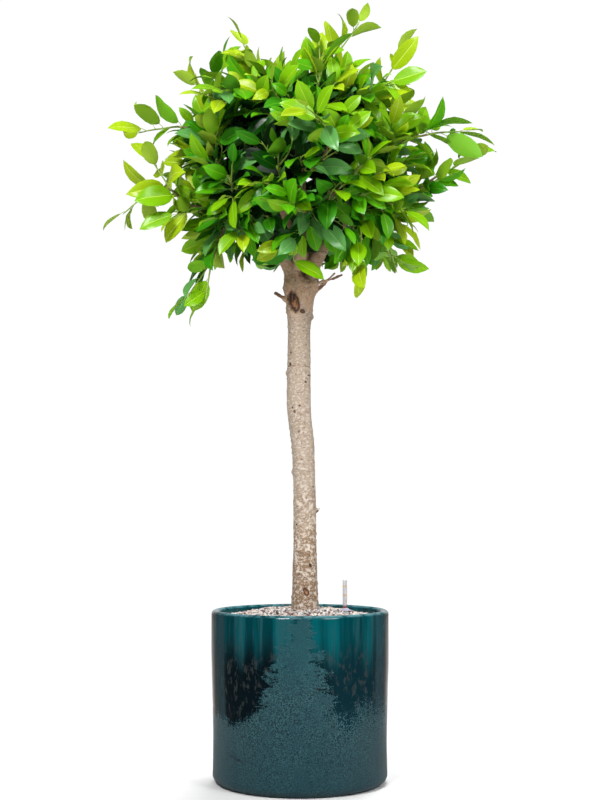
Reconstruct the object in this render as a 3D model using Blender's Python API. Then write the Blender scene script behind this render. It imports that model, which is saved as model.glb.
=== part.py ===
"""Standard fig tree trained as a lollipop: one clear stem under a round leafy head, in a glazed cylinder pot.

Run it with: blender --background --python part.py
Lengths are metres and +Z is up. The origin is the centre of the pot's flat underside, and -Y is the front.
Each object is one sub-part: pot, soil, gravel, water gauge, stem, boughs, and one mass of twigs and leaves
for each bough. Azimuths turn from +X (the right, seen from the front) towards +Y (the back), in degrees.
"""

import math
import random
from collections import namedtuple

import bmesh
import bpy
from mathutils import Matrix, Vector
from mathutils.bvhtree import BVHTree

# ---------------------------------------------------------------- driving dimensions
POT_RADIUS = 0.150  # outside, at the rim
POT_WAIST_RADIUS = 0.1462  # outside, where the wall is narrowest
POT_HEIGHT = 0.286
POT_WALL = 0.013
POT_FLOOR = 0.016
POT_HEEL = 0.015  # rounding between wall and underside

GAP = 0.0003  # between pieces that touch
GRAVEL_TOP = POT_HEIGHT - 0.001  # the mound stands level with the rim at the stem
GRAVEL_EDGE = POT_HEIGHT - 0.013  # and falls away towards the wall
GRAVEL_DEPTH = 0.030
LEVEL_PATCH = 0.052  # radius of the mound's level top
WALL_LEAN = 0.003  # the pot's inside is this much narrower at its floor
FILL_CLEARANCE = 0.0012

GAUGE_X, GAUGE_Y = 0.076, -0.012
GAUGE_TUBE_RADIUS = 0.0043
GAUGE_TUBE_WALL = 0.0009
GAUGE_ROD_RADIUS = 0.0021
GAUGE_TOP = 0.337

STEM_RADIUS = 0.0205
HEAD_HEIGHT = 0.842  # where the lower boughs part
LEADER_HEIGHT = 0.902  # where the upper boughs part, on the stem's leader
LEADER_FOOT_RADIUS, LEADER_RADIUS = 0.021, 0.0155
STUB_FLARE = 1.4  # a bough's stub is this much thicker where it leaves the fork
CROWN_HEIGHT = 1.055  # middle of the leafy head
CROWN_RADIUS = 0.190  # reach of an ordinary shoot's tip, sideways
CROWN_RISE = 0.146  # the same, upwards
CROWN_DROP = 0.205  # and downwards
SHOOT_COUNT = 84  # ordinary shoots, spread evenly over the head
LOWEST_SHOOT = math.radians(-58)  # below this the head is open round the stem

LEAF_LENGTH = 0.083  # of a full leaf with its stalk, a little over life size as the leaves are fewer
LEAF_WIDTH = 0.043
LEAF_THICKNESS = 0.0013
LEAF_FOLD = 0.0045  # the margins stand this far above the midrib
LEAF_SPACING = 0.0178  # along a shoot
LEAFY_LENGTH = 0.120  # the outer stretch of a shoot that bears leaves
LEAF_ROOM = 0.005  # from a leaf's blade to the limbs
LEAF_MARGIN = 0.0012  # from a leaf to the wall of its mass's space, and to the mass's other twigs
LEAF_TRIES = 24

TWIG_STEP = 0.080  # between the bends of a twig
TWIG_ROOM = 0.004  # from a twig to the wall of its mass's space, and to the limbs
SHARPEST_TURN = -0.25  # cosine of the widest angle between a twig's way and the wood that it leaves
TWIG_TIP_RADIUS = 0.0014
TWIG_THICKENING = 0.011  # radius gained for each metre back from the tip
BOUGH_TIP_RADIUS = 0.0052
GOLDEN_ANGLE = math.radians(137.508)

SEED = 2
LATHE_STEPS = 40
UP = Vector((0, 0, 1))
CROWN_CENTRE = Vector((0.003, 0, CROWN_HEIGHT))
HEAD = Vector((0.0014, 0, HEAD_HEIGHT))
LEADER = Vector((0.004, 0.002, LEADER_HEIGHT))

# Each bough carries one mass of foliage. The mass's middle lies from the crown's centre in the direction
# (mass_azimuth, mass_elevation). The bough leaves the stem's head, or its leader, in a direction of its own,
# as a stub of the stem's that the bough then grows on from.
Bough = namedtuple("Bough", "mass_azimuth mass_elevation fork azimuth elevation radius stub")
BOUGHS = {
    "right": Bough(340, -22, HEAD, 341, 57, 0.0120, 0.060),
    "back_right": Bough(38, -22, HEAD, 38, 55, 0.0085, 0.052),
    "back": Bough(92, -22, HEAD, 92, 56, 0.0085, 0.052),
    "back_left": Bough(148, -22, HEAD, 146, 55, 0.0085, 0.052),
    "left": Bough(200, -22, HEAD, 200, 57, 0.0125, 0.060),
    "front": Bough(270, -22, HEAD, 270, 56, 0.0090, 0.052),
    "upper_right": Bough(26, 36, LEADER, 26, 60, 0.0075, 0.034),
    "upper_left": Bough(146, 36, LEADER, 146, 60, 0.0075, 0.034),
    "upper_front": Bough(264, 36, LEADER, 264, 60, 0.0075, 0.034),
    "top": Bough(90, 90, LEADER, 90, 88, 0.0090, 0.038),
}
MASS_DISTANCE = 0.135  # of a mass's middle from the crown's centre

# (share of the way from foot to head, value): how far the stem's axis lies to the side, and its girth as a
# share of STEM_RADIUS.
STEM_SWAY = ((0, 0.0085), (0.33, 0.0082), (0.47, 0.0060), (0.64, -0.0026), (0.85, -0.0017), (1, 0.0014))
STEM_GIRTH = (
    (0, 1.13),
    (0.10, 1.02),
    (0.22, 0.95),
    (0.45, 0.95),
    (0.66, 1.00),
    (0.85, 0.94),
    (0.94, 1.10),
    (1, 1.25),
)

# Stubs of dead shoots on the stem: (height, azimuth, elevation, length from the axis, radius at the root).
DEAD_STUBS = (
    (0.804, 184, 27, 0.048, 0.0050),
    (0.807, -5, 41, 0.080, 0.0034),
    (0.838, -14, 12, 0.076, 0.0030),
    (0.445, 2, 20, 0.028, 0.0045),
)
# Low knots where side shoots were rubbed off: (height, azimuth, radius).
KNOTS = ((0.790, 20, 0.010), (0.690, 175, 0.008), (0.520, 160, 0.008), (0.385, 250, 0.009))

# Long shoots that stand out of the round head: (azimuth, elevation, reach from the centre, leafy length).
LONG_SHOOTS = (
    (-5, 2, 0.366, 0.17),
    (-10, 20, 0.346, 0.15),
    (-6, -9, 0.302, 0.13),
    (8, 49, 0.334, 0.10),
    (-18, 72, 0.312, 0.16),
    (188, 64, 0.296, 0.15),
    (174, 52, 0.302, 0.10),
    (168, 39, 0.312, 0.10),
    (183, 11, 0.338, 0.11),
    (196, 1, 0.310, 0.12),
    (184, -13, 0.362, 0.15),
    (200, -26, 0.310, 0.12),
    (186, -50, 0.376, 0.07),
    (194, -60, 0.352, 0.03),
    (-34, -68, 0.285, 0.12),
    (-12, -41, 0.308, 0.12),
    (-30, -28, 0.285, 0.12),
    (40, 8, 0.318, 0.15),
    (92, -20, 0.330, 0.16),
    (122, 14, 0.322, 0.14),
    (90, 48, 0.300, 0.14),
    (146, -34, 0.318, 0.14),
    (34, -38, 0.312, 0.14),
    (226, 22, 0.290, 0.13),
    (272, 4, 0.318, 0.16),
    (312, 24, 0.300, 0.14),
    (262, -30, 0.304, 0.15),
    (284, 56, 0.280, 0.12),
    (60, -12, 0.275, 0.14),
    (124, -8, 0.275, 0.14),
    (152, 8, 0.270, 0.12),
    (236, -10, 0.270, 0.12),
    (303, -10, 0.270, 0.12),
)


# ---------------------------------------------------------------- helpers
def clear_scene():
    for thing in list(bpy.data.objects):
        bpy.data.objects.remove(thing)


def finish(name, colour, roughness):
    """A Principled material."""
    material = bpy.data.materials.new(name)
    material.use_nodes = True
    shader = material.node_tree.nodes["Principled BSDF"]
    shader.inputs["Base Color"].default_value = (*colour, 1)
    shader.inputs["Roughness"].default_value = roughness
    return material


def bearing(azimuth, elevation):
    """The unit vector in a direction given in degrees."""
    a, e = math.radians(azimuth), math.radians(elevation)
    return Vector((math.cos(a) * math.cos(e), math.sin(a) * math.cos(e), math.sin(e)))


def add_object(name, mesh, material, smooth=True):
    thing = bpy.data.objects.new(name, mesh)
    bpy.context.scene.collection.objects.link(thing)
    mesh.materials.append(material)
    if smooth:
        mesh.shade_smooth()
        mesh.set_sharp_from_angle(angle=math.radians(40))
    return thing


def mesh_from(name, bm):
    bmesh.ops.recalc_face_normals(bm, faces=bm.faces)
    mesh = bpy.data.meshes.new(name)
    bm.to_mesh(mesh)
    bm.free()
    return mesh


def lathe(name, profile, steps=LATHE_STEPS):
    """A solid of revolution about Z from (radius, height) points that start and end on the axis."""
    bm = bmesh.new()
    verts = [bm.verts.new((radius, 0, height)) for radius, height in profile]
    edges = [bm.edges.new(pair) for pair in zip(verts, verts[1:])]
    bmesh.ops.spin(bm, geom=verts + edges, axis=UP, cent=(0, 0, 0), angle=math.tau, steps=steps)
    bmesh.ops.remove_doubles(bm, verts=bm.verts, dist=1e-5)
    return mesh_from(name, bm)


def arc(centre_r, centre_z, radius, start, end, steps):
    """Profile points round a centre, with the angles in degrees from the outward radius."""
    angles = [math.radians(start + (end - start) * i / steps) for i in range(steps + 1)]
    return [(centre_r + radius * math.cos(a), centre_z + radius * math.sin(a)) for a in angles]


def bezier(start, handle, end, steps):
    """Points of a quadratic curve, both ends included."""
    shares = [i / steps for i in range(steps + 1)]
    return [start * (1 - t) ** 2 + handle * 2 * t * (1 - t) + end * t**2 for t in shares]


def smooth_value(table, x):
    """Reads a table of (x, value) pairs, easing between them."""
    for (x0, a), (x1, b) in zip(table, table[1:]):
        if x <= x1:
            t = (x - x0) / (x1 - x0)
            return a + (b - a) * t * t * (3 - 2 * t)
    return table[-1][1]


def end_direction(last, before, earlier):
    """The direction in which an evenly stepped curve arrives at its last point."""
    return ((last - before) * 3 - (before - earlier)).normalized()


def directions(points):
    """The curve's direction at each of its points."""
    found = [-end_direction(points[0], points[1], points[2])]
    found += [(c - a).normalized() for a, c in zip(points, points[2:])]
    found.append(end_direction(points[-1], points[-2], points[-3]))
    return found


def sections(points):
    """(direction, sideways vector) at each point of a curve. The second turns as little as it can."""
    found = []
    side = None
    for ahead in directions(points):
        side = ahead.orthogonal() if side is None else side
        side = (side - ahead * side.dot(ahead)).normalized()
        found.append((ahead, side))
    return found


def tube(name, points, radii, sides):
    """A closed tapering tube along points, with flat ends. A corner lies on each sideways vector."""
    bm = bmesh.new()
    rings = []
    for point, radius, (ahead, side) in zip(points, radii, sections(points)):
        other = ahead.cross(side)
        angles = [math.tau * k / sides for k in range(sides)]
        corners = [point + (side * math.cos(a) + other * math.sin(a)) * radius for a in angles]
        rings.append([bm.verts.new(corner) for corner in corners])
    for low, high in zip(rings, rings[1:]):
        for k in range(sides):
            bm.faces.new((low[k], low[(k + 1) % sides], high[(k + 1) % sides], high[k]))
    bm.faces.new(list(reversed(rings[0])))
    bm.faces.new(rings[-1])
    return mesh_from(name, bm)


def ball(name, centre, radius, subdivisions):
    bm = bmesh.new()
    bmesh.ops.create_icosphere(bm, subdivisions=subdivisions, radius=radius)
    bmesh.ops.translate(bm, vec=centre, verts=bm.verts)
    return mesh_from(name, bm)


def fuse(name, meshes, material, solver="EXACT"):
    """One object from overlapping closed meshes, joined by a Boolean union on their collection."""
    parts = bpy.data.collections.new(name + "_parts")
    for i, mesh in enumerate(meshes[1:]):
        parts.objects.link(bpy.data.objects.new(f"{name}_part_{i}", mesh))
    whole = bpy.data.objects.new(name, meshes[0])
    bpy.context.scene.collection.objects.link(whole)
    bpy.context.scene.collection.children.link(parts)
    union = whole.modifiers.new("union", "BOOLEAN")
    union.operation = "UNION"
    union.operand_type = "COLLECTION"
    union.collection = parts
    union.solver = solver
    graph = bpy.context.evaluated_depsgraph_get()
    fused = bpy.data.meshes.new_from_object(whole.evaluated_get(graph))
    for thing in [whole, *parts.objects]:
        bpy.data.objects.remove(thing)
    bpy.data.collections.remove(parts)
    fused.materials.clear()
    return add_object(name, fused, material, smooth=False)


# ---------------------------------------------------------------- pot, soil, gravel and water gauge
def build_pot():
    """A cylinder with a slight waist, a rounded heel on a flat underside, and a rounded lip."""
    lip = POT_WALL / 2
    inner = POT_RADIUS - POT_WALL
    profile = [(0, 0)]
    profile += arc(POT_WAIST_RADIUS + 0.0006 - POT_HEEL, POT_HEEL, POT_HEEL, -90, 0, 4)
    profile += [(POT_WAIST_RADIUS, 0.075), (POT_WAIST_RADIUS + 0.0014, 0.150), (POT_RADIUS, 0.225)]
    profile += arc(POT_RADIUS - lip, POT_HEIGHT - lip, lip, 0, 180, 6)
    profile += [(inner - WALL_LEAN, POT_FLOOR), (0, POT_FLOOR)]
    glaze = finish("glaze", (0.010, 0.070, 0.080), 0.22)
    add_object("pot", lathe("pot", profile), glaze)


def inner_radius(height):
    """The radius of what fills the pot: just clear of its wall, which leans in a little towards the floor."""
    share = (height - POT_FLOOR) / (POT_HEIGHT - POT_WALL / 2 - POT_FLOOR)
    return POT_RADIUS - POT_WALL - WALL_LEAN * (1 - share) - FILL_CLEARANCE


def mound_height(share):
    """The gravel's height at a share of the way from the level patch round the stem to the wall."""
    ease = (1 - share) ** 2 * (1 + 2 * share)
    return GRAVEL_EDGE + (GRAVEL_TOP - GRAVEL_EDGE) * ease


def build_fill():
    """Potting soil up to the gravel, and a mound of gravel over it. Both stand clear of the wall."""
    top = GRAVEL_EDGE - GRAVEL_DEPTH
    floor = POT_FLOOR + GAP
    soil_profile = [(0, floor), (inner_radius(floor), floor), (inner_radius(top), top), (0, top)]
    soil = finish("soil", (0.045, 0.030, 0.020), 0.95)
    add_object("soil", lathe("soil", soil_profile, steps=24), soil)

    base = top + GAP
    edge = inner_radius(GRAVEL_EDGE)
    slope = (1, 0.8, 0.55, 0.3, 0)
    mound = [(LEVEL_PATCH + (edge - LEVEL_PATCH) * share, mound_height(share)) for share in slope]
    gravel_profile = [(0, base), (inner_radius(base), base), *mound, (0, GRAVEL_TOP)]
    stones = finish("stones", (0.50, 0.43, 0.38), 0.85)
    add_object("gravel", lathe("gravel", gravel_profile, steps=32), stones)


def build_gauge():
    """The gauge of the pot's reservoir: a collar on the gravel, a clear tube, and the float's red rod."""
    collar_radius, collar_height = 0.0105, 0.0075
    away = math.hypot(GAUGE_X, GAUGE_Y)
    share = (away - LEVEL_PATCH) / (inner_radius(GRAVEL_EDGE) - LEVEL_PATCH)
    foot = mound_height(share) + 0.0022  # the collar lies on the stones on its uphill side
    place = Matrix.Translation((GAUGE_X, GAUGE_Y, 0))

    collar = [(0, foot), (collar_radius, foot), (collar_radius, foot + 0.0015)]
    collar += [(GAUGE_TUBE_RADIUS + 0.0016, foot + collar_height - 0.002)]
    collar += [(GAUGE_TUBE_RADIUS + 0.0009, foot + collar_height), (0, foot + collar_height)]
    bore = GAUGE_TUBE_RADIUS - GAUGE_TUBE_WALL
    base = foot + collar_height + GAP
    cap = GAUGE_TOP - 0.0015
    rod_top = GAUGE_TOP - 0.012
    bevel = 0.0006
    tube_profile = [(0, GAUGE_TOP), (GAUGE_TUBE_RADIUS - bevel, GAUGE_TOP)]
    tube_profile += [(GAUGE_TUBE_RADIUS, GAUGE_TOP - bevel), (GAUGE_TUBE_RADIUS, base)]
    tube_profile += [(bore, base), (bore, cap), (0, cap)]
    rod = [(0, base), (GAUGE_ROD_RADIUS, base), (GAUGE_ROD_RADIUS, rod_top), (0, rod_top)]

    clear = finish("clear_plastic", (0.80, 0.80, 0.84), 0.15)
    pale = finish("pale_plastic", (0.55, 0.52, 0.62), 0.4)
    red = finish("float_plastic", (0.60, 0.06, 0.03), 0.4)
    for name, profile, colour, steps in (
        ("gauge_collar", collar, pale, 16),
        ("gauge_tube", tube_profile, clear, 12),
        ("gauge_float", rod, red, 8),
    ):
        mesh = lathe(name, profile, steps)
        mesh.transform(place)
        add_object(name, mesh, colour)


# ---------------------------------------------------------------- stem and boughs
def stem_foot():
    return GRAVEL_TOP + GAP


def stem_centre(height):
    """The stem's axis at a height. It sways to the left on its way up."""
    share = (height - stem_foot()) / (HEAD_HEIGHT - stem_foot())
    return Vector((smooth_value(STEM_SWAY, share), 0.002 * (1 - math.cos(math.tau * share)), height))


def stem_axis(steps=15):
    """(points, radii) of the stem from its cut foot to the middle of its head."""
    shares = [i / steps for i in range(steps + 1)]
    points = [stem_centre(stem_foot() + (HEAD_HEIGHT - stem_foot()) * share) for share in shares]
    return points, [STEM_RADIUS * smooth_value(STEM_GIRTH, share) for share in shares]


def bough_axis(name, steps=5):
    """(points, radii) of a bough from the end of its stub to its tip."""
    bough = BOUGHS[name]
    away = bearing(bough.azimuth, bough.elevation)
    start = bough.fork + away * (bough.stub + GAP)
    end = bough.fork.lerp(mass_middle(name), 0.66)
    points = bezier(start, start + away * (end - start).length * 0.5, end, steps)
    radii = [bough.radius + (BOUGH_TIP_RADIUS - bough.radius) * (i / steps) ** 0.8 for i in range(steps + 1)]
    return points, radii


def build_stem():
    """The stem with its swollen head and leader, the boughs' stubs, the stubs of dead shoots, and knots."""
    points, radii = stem_axis()
    wood = [tube("stem", points, radii, 14), ball("swelling", HEAD, radii[-1] * 1.04, 2)]
    middle_radius = (LEADER_FOOT_RADIUS + LEADER_RADIUS) / 2
    leader_radii = [LEADER_FOOT_RADIUS, middle_radius, LEADER_RADIUS]
    wood.append(tube("leader", [HEAD, (HEAD + LEADER) / 2, LEADER], leader_radii, 10))
    for name, bough in BOUGHS.items():
        away = bearing(bough.azimuth, bough.elevation)
        ends = [bough.fork + away * reach for reach in (0.004, bough.stub * 0.62, bough.stub)]
        wood.append(tube(name, ends, [bough.radius * STUB_FLARE, bough.radius * 1.12, bough.radius], 8))
    for height, azimuth, elevation, length, radius in DEAD_STUBS:
        away = bearing(azimuth, elevation)
        root = stem_centre(height)
        stub_points = bezier(root, root + away * length * 0.6, root + away * length + UP * 0.004, 3)
        wood.append(tube("dead_stub", stub_points, [radius, radius * 0.9, radius * 0.6, radius * 0.4], 6))
    for height, azimuth, radius in KNOTS:
        wood.append(ball("knot", stem_centre(height) + bearing(azimuth, 0) * STEM_RADIUS * 0.72, radius, 1))
    bark = finish("bark", (0.42, 0.34, 0.27), 0.85)
    stem = fuse("stem", wood, bark)
    stem.data.shade_smooth()
    stem.data.set_sharp_from_angle(angle=math.radians(50))


def build_boughs():
    wood = finish("bough_bark", (0.28, 0.19, 0.14), 0.85)
    for name in BOUGHS:
        points, radii = bough_axis(name)
        add_object("bough_" + name, tube(name, points, radii, 8), wood)


# ---------------------------------------------------------------- foliage: where it may be
def mass_middle(name):
    bough = BOUGHS[name]
    return CROWN_CENTRE + bearing(bough.mass_azimuth, bough.mass_elevation) * MASS_DISTANCE


def limbs():
    """Every stretch of the stem and the boughs, as (start, end, radius)."""
    found = [(HEAD, LEADER, LEADER_FOOT_RADIUS)]
    for points, radii in [stem_axis()] + [bough_axis(name) for name in BOUGHS]:
        found += zip(points, points[1:], radii)
    for bough in BOUGHS.values():
        end = bough.fork + bearing(bough.azimuth, bough.elevation) * bough.stub
        found.append((bough.fork, end, bough.radius * STUB_FLARE))
    return found


def clear_of(point, stretches, room):
    """True if point is at least room away from the surface of every stretch."""
    for start, end, radius in stretches:
        along = end - start
        share = min(1.0, max(0.0, (point - start).dot(along) / along.length_squared))
        if (point - start - along * share).length < radius + room:
            return False
    return True


def in_own_space(point, name, room):
    """True if point is nearer to this mass's middle than to any other's, and room or more from the wall."""
    own = mass_middle(name)
    for other in BOUGHS:
        if other == name:
            continue
        wall = own - mass_middle(other)
        halfway = (own + mass_middle(other)) / 2
        if (point - halfway).dot(wall) / wall.length < room:
            return False
    return True


# ---------------------------------------------------------------- foliage: the rule that it grows by
def shoot_tips(rng):
    """Where each shoot ends: ordinary ones spread over the head by the golden angle, then the long ones."""
    tips = []
    for i in range(SHOOT_COUNT):
        height = 1 - (1 - math.sin(LOWEST_SHOOT)) * (i + 0.5) / SHOOT_COUNT
        level = math.sqrt(1 - height * height)
        turn = i * GOLDEN_ANGLE
        tall = CROWN_RISE if height > 0 else CROWN_DROP
        reach = 0.80 + 0.24 * rng.random()
        flat = CROWN_RADIUS * level
        away = Vector((flat * math.cos(turn), flat * math.sin(turn), height * tall))
        tips.append((CROWN_CENTRE + away * reach, LEAFY_LENGTH))
    for azimuth, elevation, reach, leafy in LONG_SHOOTS:
        tips.append((CROWN_CENTRE + bearing(azimuth, elevation) * (reach - 0.82 * LEAF_LENGTH), leafy))
    return tips


Joint = namedtuple("Joint", "place direction back radius")  # back: the way back to the bough's tip


def nearest_mass(point):
    return min(BOUGHS, key=lambda name: (point - mass_middle(name)).length)


def twig_path(name, tip, joints, depth, stretches):
    """(path, joint) of the twig that ends at tip, or None where none can reach it.

    It leaves the wood that is there at the joint that makes the shortest way, counting the way back to the
    bough at less than half, and sets out along that wood before it bends to its tip. It starts at its own depth
    in the joint, as no two twigs may start alike."""
    for joint in sorted(joints, key=lambda joint: (tip - joint.place).length + 0.45 * joint.back):
        way = tip - joint.place
        if way.length < 0.03 or way.normalized().dot(joint.direction) < SHARPEST_TURN:
            continue
        handle = joint.place + joint.direction * way.length * 0.42 + UP * way.length * 0.05
        steps = max(2, round(way.length / TWIG_STEP))
        path = bezier(joint.place - joint.direction * depth, handle, tip, steps)
        if all(in_own_space(p, name, TWIG_ROOM) and clear_of(p, stretches, TWIG_ROOM) for p in path[1:]):
            return path, joint
    return None


def grow_twigs(name, tips, stretches):
    """The mass's twigs as (path, radii, leafy length): its stem, which carries on from the bough's tip to the
    middle of the mass, then a twig to each shoot's tip, nearest tips first."""
    points, _ = bough_axis(name)
    ahead = directions(points)[-1]
    foot = points[-1] + ahead * GAP
    end = foot.lerp(mass_middle(name), 0.62)
    path = bezier(foot, foot + ahead * (end - foot).length * 0.5, end, 3)
    radii = [BOUGH_TIP_RADIUS * share for share in (0.94, 0.82, 0.70, 0.56)]
    twigs = [(path, radii, 0.0)]
    joints = []
    for before, place, radius in zip(path, path[1:], radii[1:]):
        joints.append(Joint(place, (place - before).normalized(), (place - foot).length, radius))
    for tip, leafy in sorted(tips, key=lambda shoot: (shoot[0] - foot).length):
        found = twig_path(name, tip, joints, 0.0002 * (1 + len(twigs) % 6), stretches)
        if found is None:
            continue
        path, start = found
        steps = [(b - a).length for a, b in zip(path, path[1:])]
        root_radius = max(0.5 * start.radius, TWIG_TIP_RADIUS)
        to_tip = [sum(steps[i:]) for i in range(len(path))]
        radii = [min(root_radius, TWIG_TIP_RADIUS + TWIG_THICKENING * way) for way in to_tip]
        twigs.append((path, radii, leafy))
        for i in range(1, len(path) - 1):
            direction = (path[i + 1] - path[i]).normalized()
            joints.append(Joint(path[i], direction, start.back + sum(steps[:i]), radii[i]))
    return twigs


def point_back(path, distance):
    """The point that lies distance back from a path's end, with the direction and sideways vector there."""
    frames = sections(path)
    for k in range(len(path) - 2, -1, -1):
        step = path[k + 1] - path[k]
        if distance <= step.length or k == 0:
            root = path[k + 1] - step * min(1.0, distance / step.length)
            ahead = step.normalized()
            side = frames[k][1]
            return root, ahead, (side - ahead * side.dot(ahead)).normalized()
        distance -= step.length


def leaf_frame(root, along, face):
    """The matrix that sets a leaf at root, pointing along, with its upper side turned to face."""
    along = along.normalized()
    normal = (face - along * face.dot(along)).normalized()
    across = normal.cross(along)
    frame = Matrix((along, across, normal)).transposed().to_4x4()
    frame.translation = root
    return frame


def leaf_outline(length, width):
    """Corners of a leaf: x along it, y across it, and z for the fold and the drooping tip."""
    droop = -0.10 * length
    return {
        "left_low": Vector((0.37 * length, 0.45 * width, LEAF_FOLD)),
        "left_high": Vector((0.70 * length, 0.45 * width, LEAF_FOLD + 0.35 * droop)),
        "tip": Vector((length, 0, droop)),
        "right_high": Vector((0.70 * length, -0.45 * width, LEAF_FOLD + 0.35 * droop)),
        "right_low": Vector((0.37 * length, -0.45 * width, LEAF_FOLD)),
    }


def leaf_shape(frame, length, width):
    """(corners, triangles) of a closed leaf: six-sided, folded on its midrib and thickest in the middle."""
    rim = [Vector((0, 0, 0)), *leaf_outline(length, width).values()]
    ribs = [Vector((0.52 * length, 0, side * LEAF_THICKNESS / 2)) for side in (1, -1)]
    count = len(rim)
    turns = [(i, (i + 1) % count) for i in range(count)]
    upper = [(b, a, count) for a, b in turns]
    lower = [(a, b, count + 1) for a, b in turns]
    return [frame @ corner for corner in rim + ribs], upper + lower


def leaf_mesh(leaf):
    corners, triangles = leaf
    mesh = bpy.data.meshes.new("leaf")
    mesh.from_pydata(corners, [], triangles)
    return mesh


def leaf_samples(frame, length, width):
    """Points spread over a leaf, for the tests on where it may be."""
    found = [frame @ place for place in leaf_outline(length, width).values()]
    for share in (0.22, 0.52, 0.82):
        for side in (-0.24, 0, 0.24):
            found.append(frame @ Vector((share * length, side * width, 0)))
    return found


def twig_tree(twig):
    """A twig as a search tree, a little thicker than it is."""
    path, radii, _ = twig
    mesh = tube("twig", path, [radius + LEAF_MARGIN for radius in radii], 3)
    tree = BVHTree.FromPolygons([v.co for v in mesh.vertices], [p.vertices for p in mesh.polygons])
    bpy.data.meshes.remove(mesh)
    return tree


def leaf_pose(root, ahead, side, place, attempt, rng):
    """(frame, size) of a leaf. It leaves one of the twig's three flat sides, the next at each place and each
    attempt, leans out of the crown, and turns its upper side up and out, each leaf a little differently."""
    outward = (root - CROWN_CENTRE).normalized()
    at_end = place == 0
    around = math.radians(60 + 120 * (place + attempt))
    spread = math.radians(12 + 2 * attempt if at_end else 66 - 1.5 * attempt)
    aside = Matrix.Rotation(around, 3, ahead) @ side
    along = ahead * math.cos(spread) + aside * math.sin(spread)
    along += UP * (0.12 * outward.z - 0.16 * rng.random()) + outward * 0.15
    wander = Vector((rng.uniform(-1, 1), rng.uniform(-1, 1), rng.uniform(-1, 1)))
    size = (0.78 if at_end else 0.92) + 0.22 * rng.random()
    return leaf_frame(root, along, UP * 0.75 + outward * 0.65 + wander * 0.45), size


def grow_leaves(name, twigs, stretches, rng):
    """The leaves of a mass: one at the end of each shoot, then one after another back along it. A leaf that
    would leave the mass's space, touch a limb, cross a twig or lie in another leaf is tried again at other
    angles, and then left out."""
    leaves, trees = [], []
    wood = [twig_tree(twig) for twig in twigs]
    for own, (path, radii, leafy) in enumerate(twigs):
        if not leafy:
            continue
        near = stretches + list(zip(path, path[1:], radii))
        others = wood[:own] + wood[own + 1 :]
        length_of_twig = sum((b - a).length for a, b in zip(path, path[1:]))
        for place in range(int(min(leafy, length_of_twig - 0.012) / LEAF_SPACING) + 1):
            root, ahead, side = point_back(path, max(0.001, place * LEAF_SPACING))
            for attempt in range(LEAF_TRIES):
                frame, size = leaf_pose(root, ahead, side, place, attempt, rng)
                length, width = LEAF_LENGTH * size, LEAF_WIDTH * size
                spots = leaf_samples(frame, length, width)
                if not all(in_own_space(p, name, LEAF_MARGIN) and clear_of(p, near, LEAF_ROOM) for p in spots):
                    continue
                leaf = leaf_shape(frame, length, width)
                tree = BVHTree.FromPolygons(*leaf)
                if any(tree.overlap(other) for other in others + trees):
                    continue
                leaves.append(leaf)
                trees.append(tree)
                break
    return leaves


def build_masses():
    """One object for each mass: its stem, twigs and leaves fused into one body."""
    rng = random.Random(SEED)
    stretches = limbs()
    by_mass = {name: [] for name in BOUGHS}
    for tip, leafy in shoot_tips(rng):
        by_mass[nearest_mass(tip)].append((tip, leafy))
    green = finish("foliage", (0.060, 0.190, 0.022), 0.40)
    for name, tips in by_mass.items():
        twigs = grow_twigs(name, tips, stretches)
        leaves = grow_leaves(name, twigs, stretches, rng)
        pieces = [tube("twig", path, radii, 3) for path, radii, _ in twigs]
        pieces += [leaf_mesh(leaf) for leaf in leaves]
        fuse("mass_" + name, pieces, green, solver="MANIFOLD")
        print(f"mass_{name}: {len(twigs)} twigs, {len(leaves)} leaves")


clear_scene()
build_pot()
build_fill()
build_gauge()
build_stem()
build_boughs()
build_masses()
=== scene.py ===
# %% [markdown]
# # A standard fig in a glazed pot
#
# The plant is a small-leaved fig trained as a lollipop: one clear stem with a round leafy head, in a
# cylinder pot dressed with gravel. The plain solids come from the packed model, which says where each
# part is. This lesson gives each of them the surface that the real thing has.
#
# Nearly every shape below is worked out as an array with numpy, either a grid of two parameters or a
# profile carried along a path, and is handed to Blender in one go.

import math
import random
from itertools import combinations

import bpy
import numpy as np
from mathutils import Matrix, Vector
from mathutils.bvhtree import BVHTree


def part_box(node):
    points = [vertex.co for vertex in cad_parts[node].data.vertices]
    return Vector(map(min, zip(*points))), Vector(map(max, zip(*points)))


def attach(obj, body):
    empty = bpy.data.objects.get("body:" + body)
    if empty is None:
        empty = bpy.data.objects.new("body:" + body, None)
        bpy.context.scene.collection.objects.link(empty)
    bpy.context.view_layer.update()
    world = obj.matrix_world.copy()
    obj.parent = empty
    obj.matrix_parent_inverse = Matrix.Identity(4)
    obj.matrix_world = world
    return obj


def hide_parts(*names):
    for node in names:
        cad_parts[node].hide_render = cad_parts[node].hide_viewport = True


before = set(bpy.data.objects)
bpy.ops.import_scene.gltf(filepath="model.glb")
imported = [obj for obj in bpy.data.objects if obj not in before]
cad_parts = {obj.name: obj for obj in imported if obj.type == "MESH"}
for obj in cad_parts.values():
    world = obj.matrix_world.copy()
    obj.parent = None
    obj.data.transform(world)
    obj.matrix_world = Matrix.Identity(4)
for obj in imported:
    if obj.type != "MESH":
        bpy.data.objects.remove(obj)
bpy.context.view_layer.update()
print("nodes:", len(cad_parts))

# %% [markdown]
# ## Colours and finishes
# A colour chart gives a paint as three numbers from 0 to 255, coded for a screen. A shader wants the
# amount of light, which is not the same: half the code is about a fifth of the light. One helper turns
# the one into the other, so that every colour below can be read like a paint chart.


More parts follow.
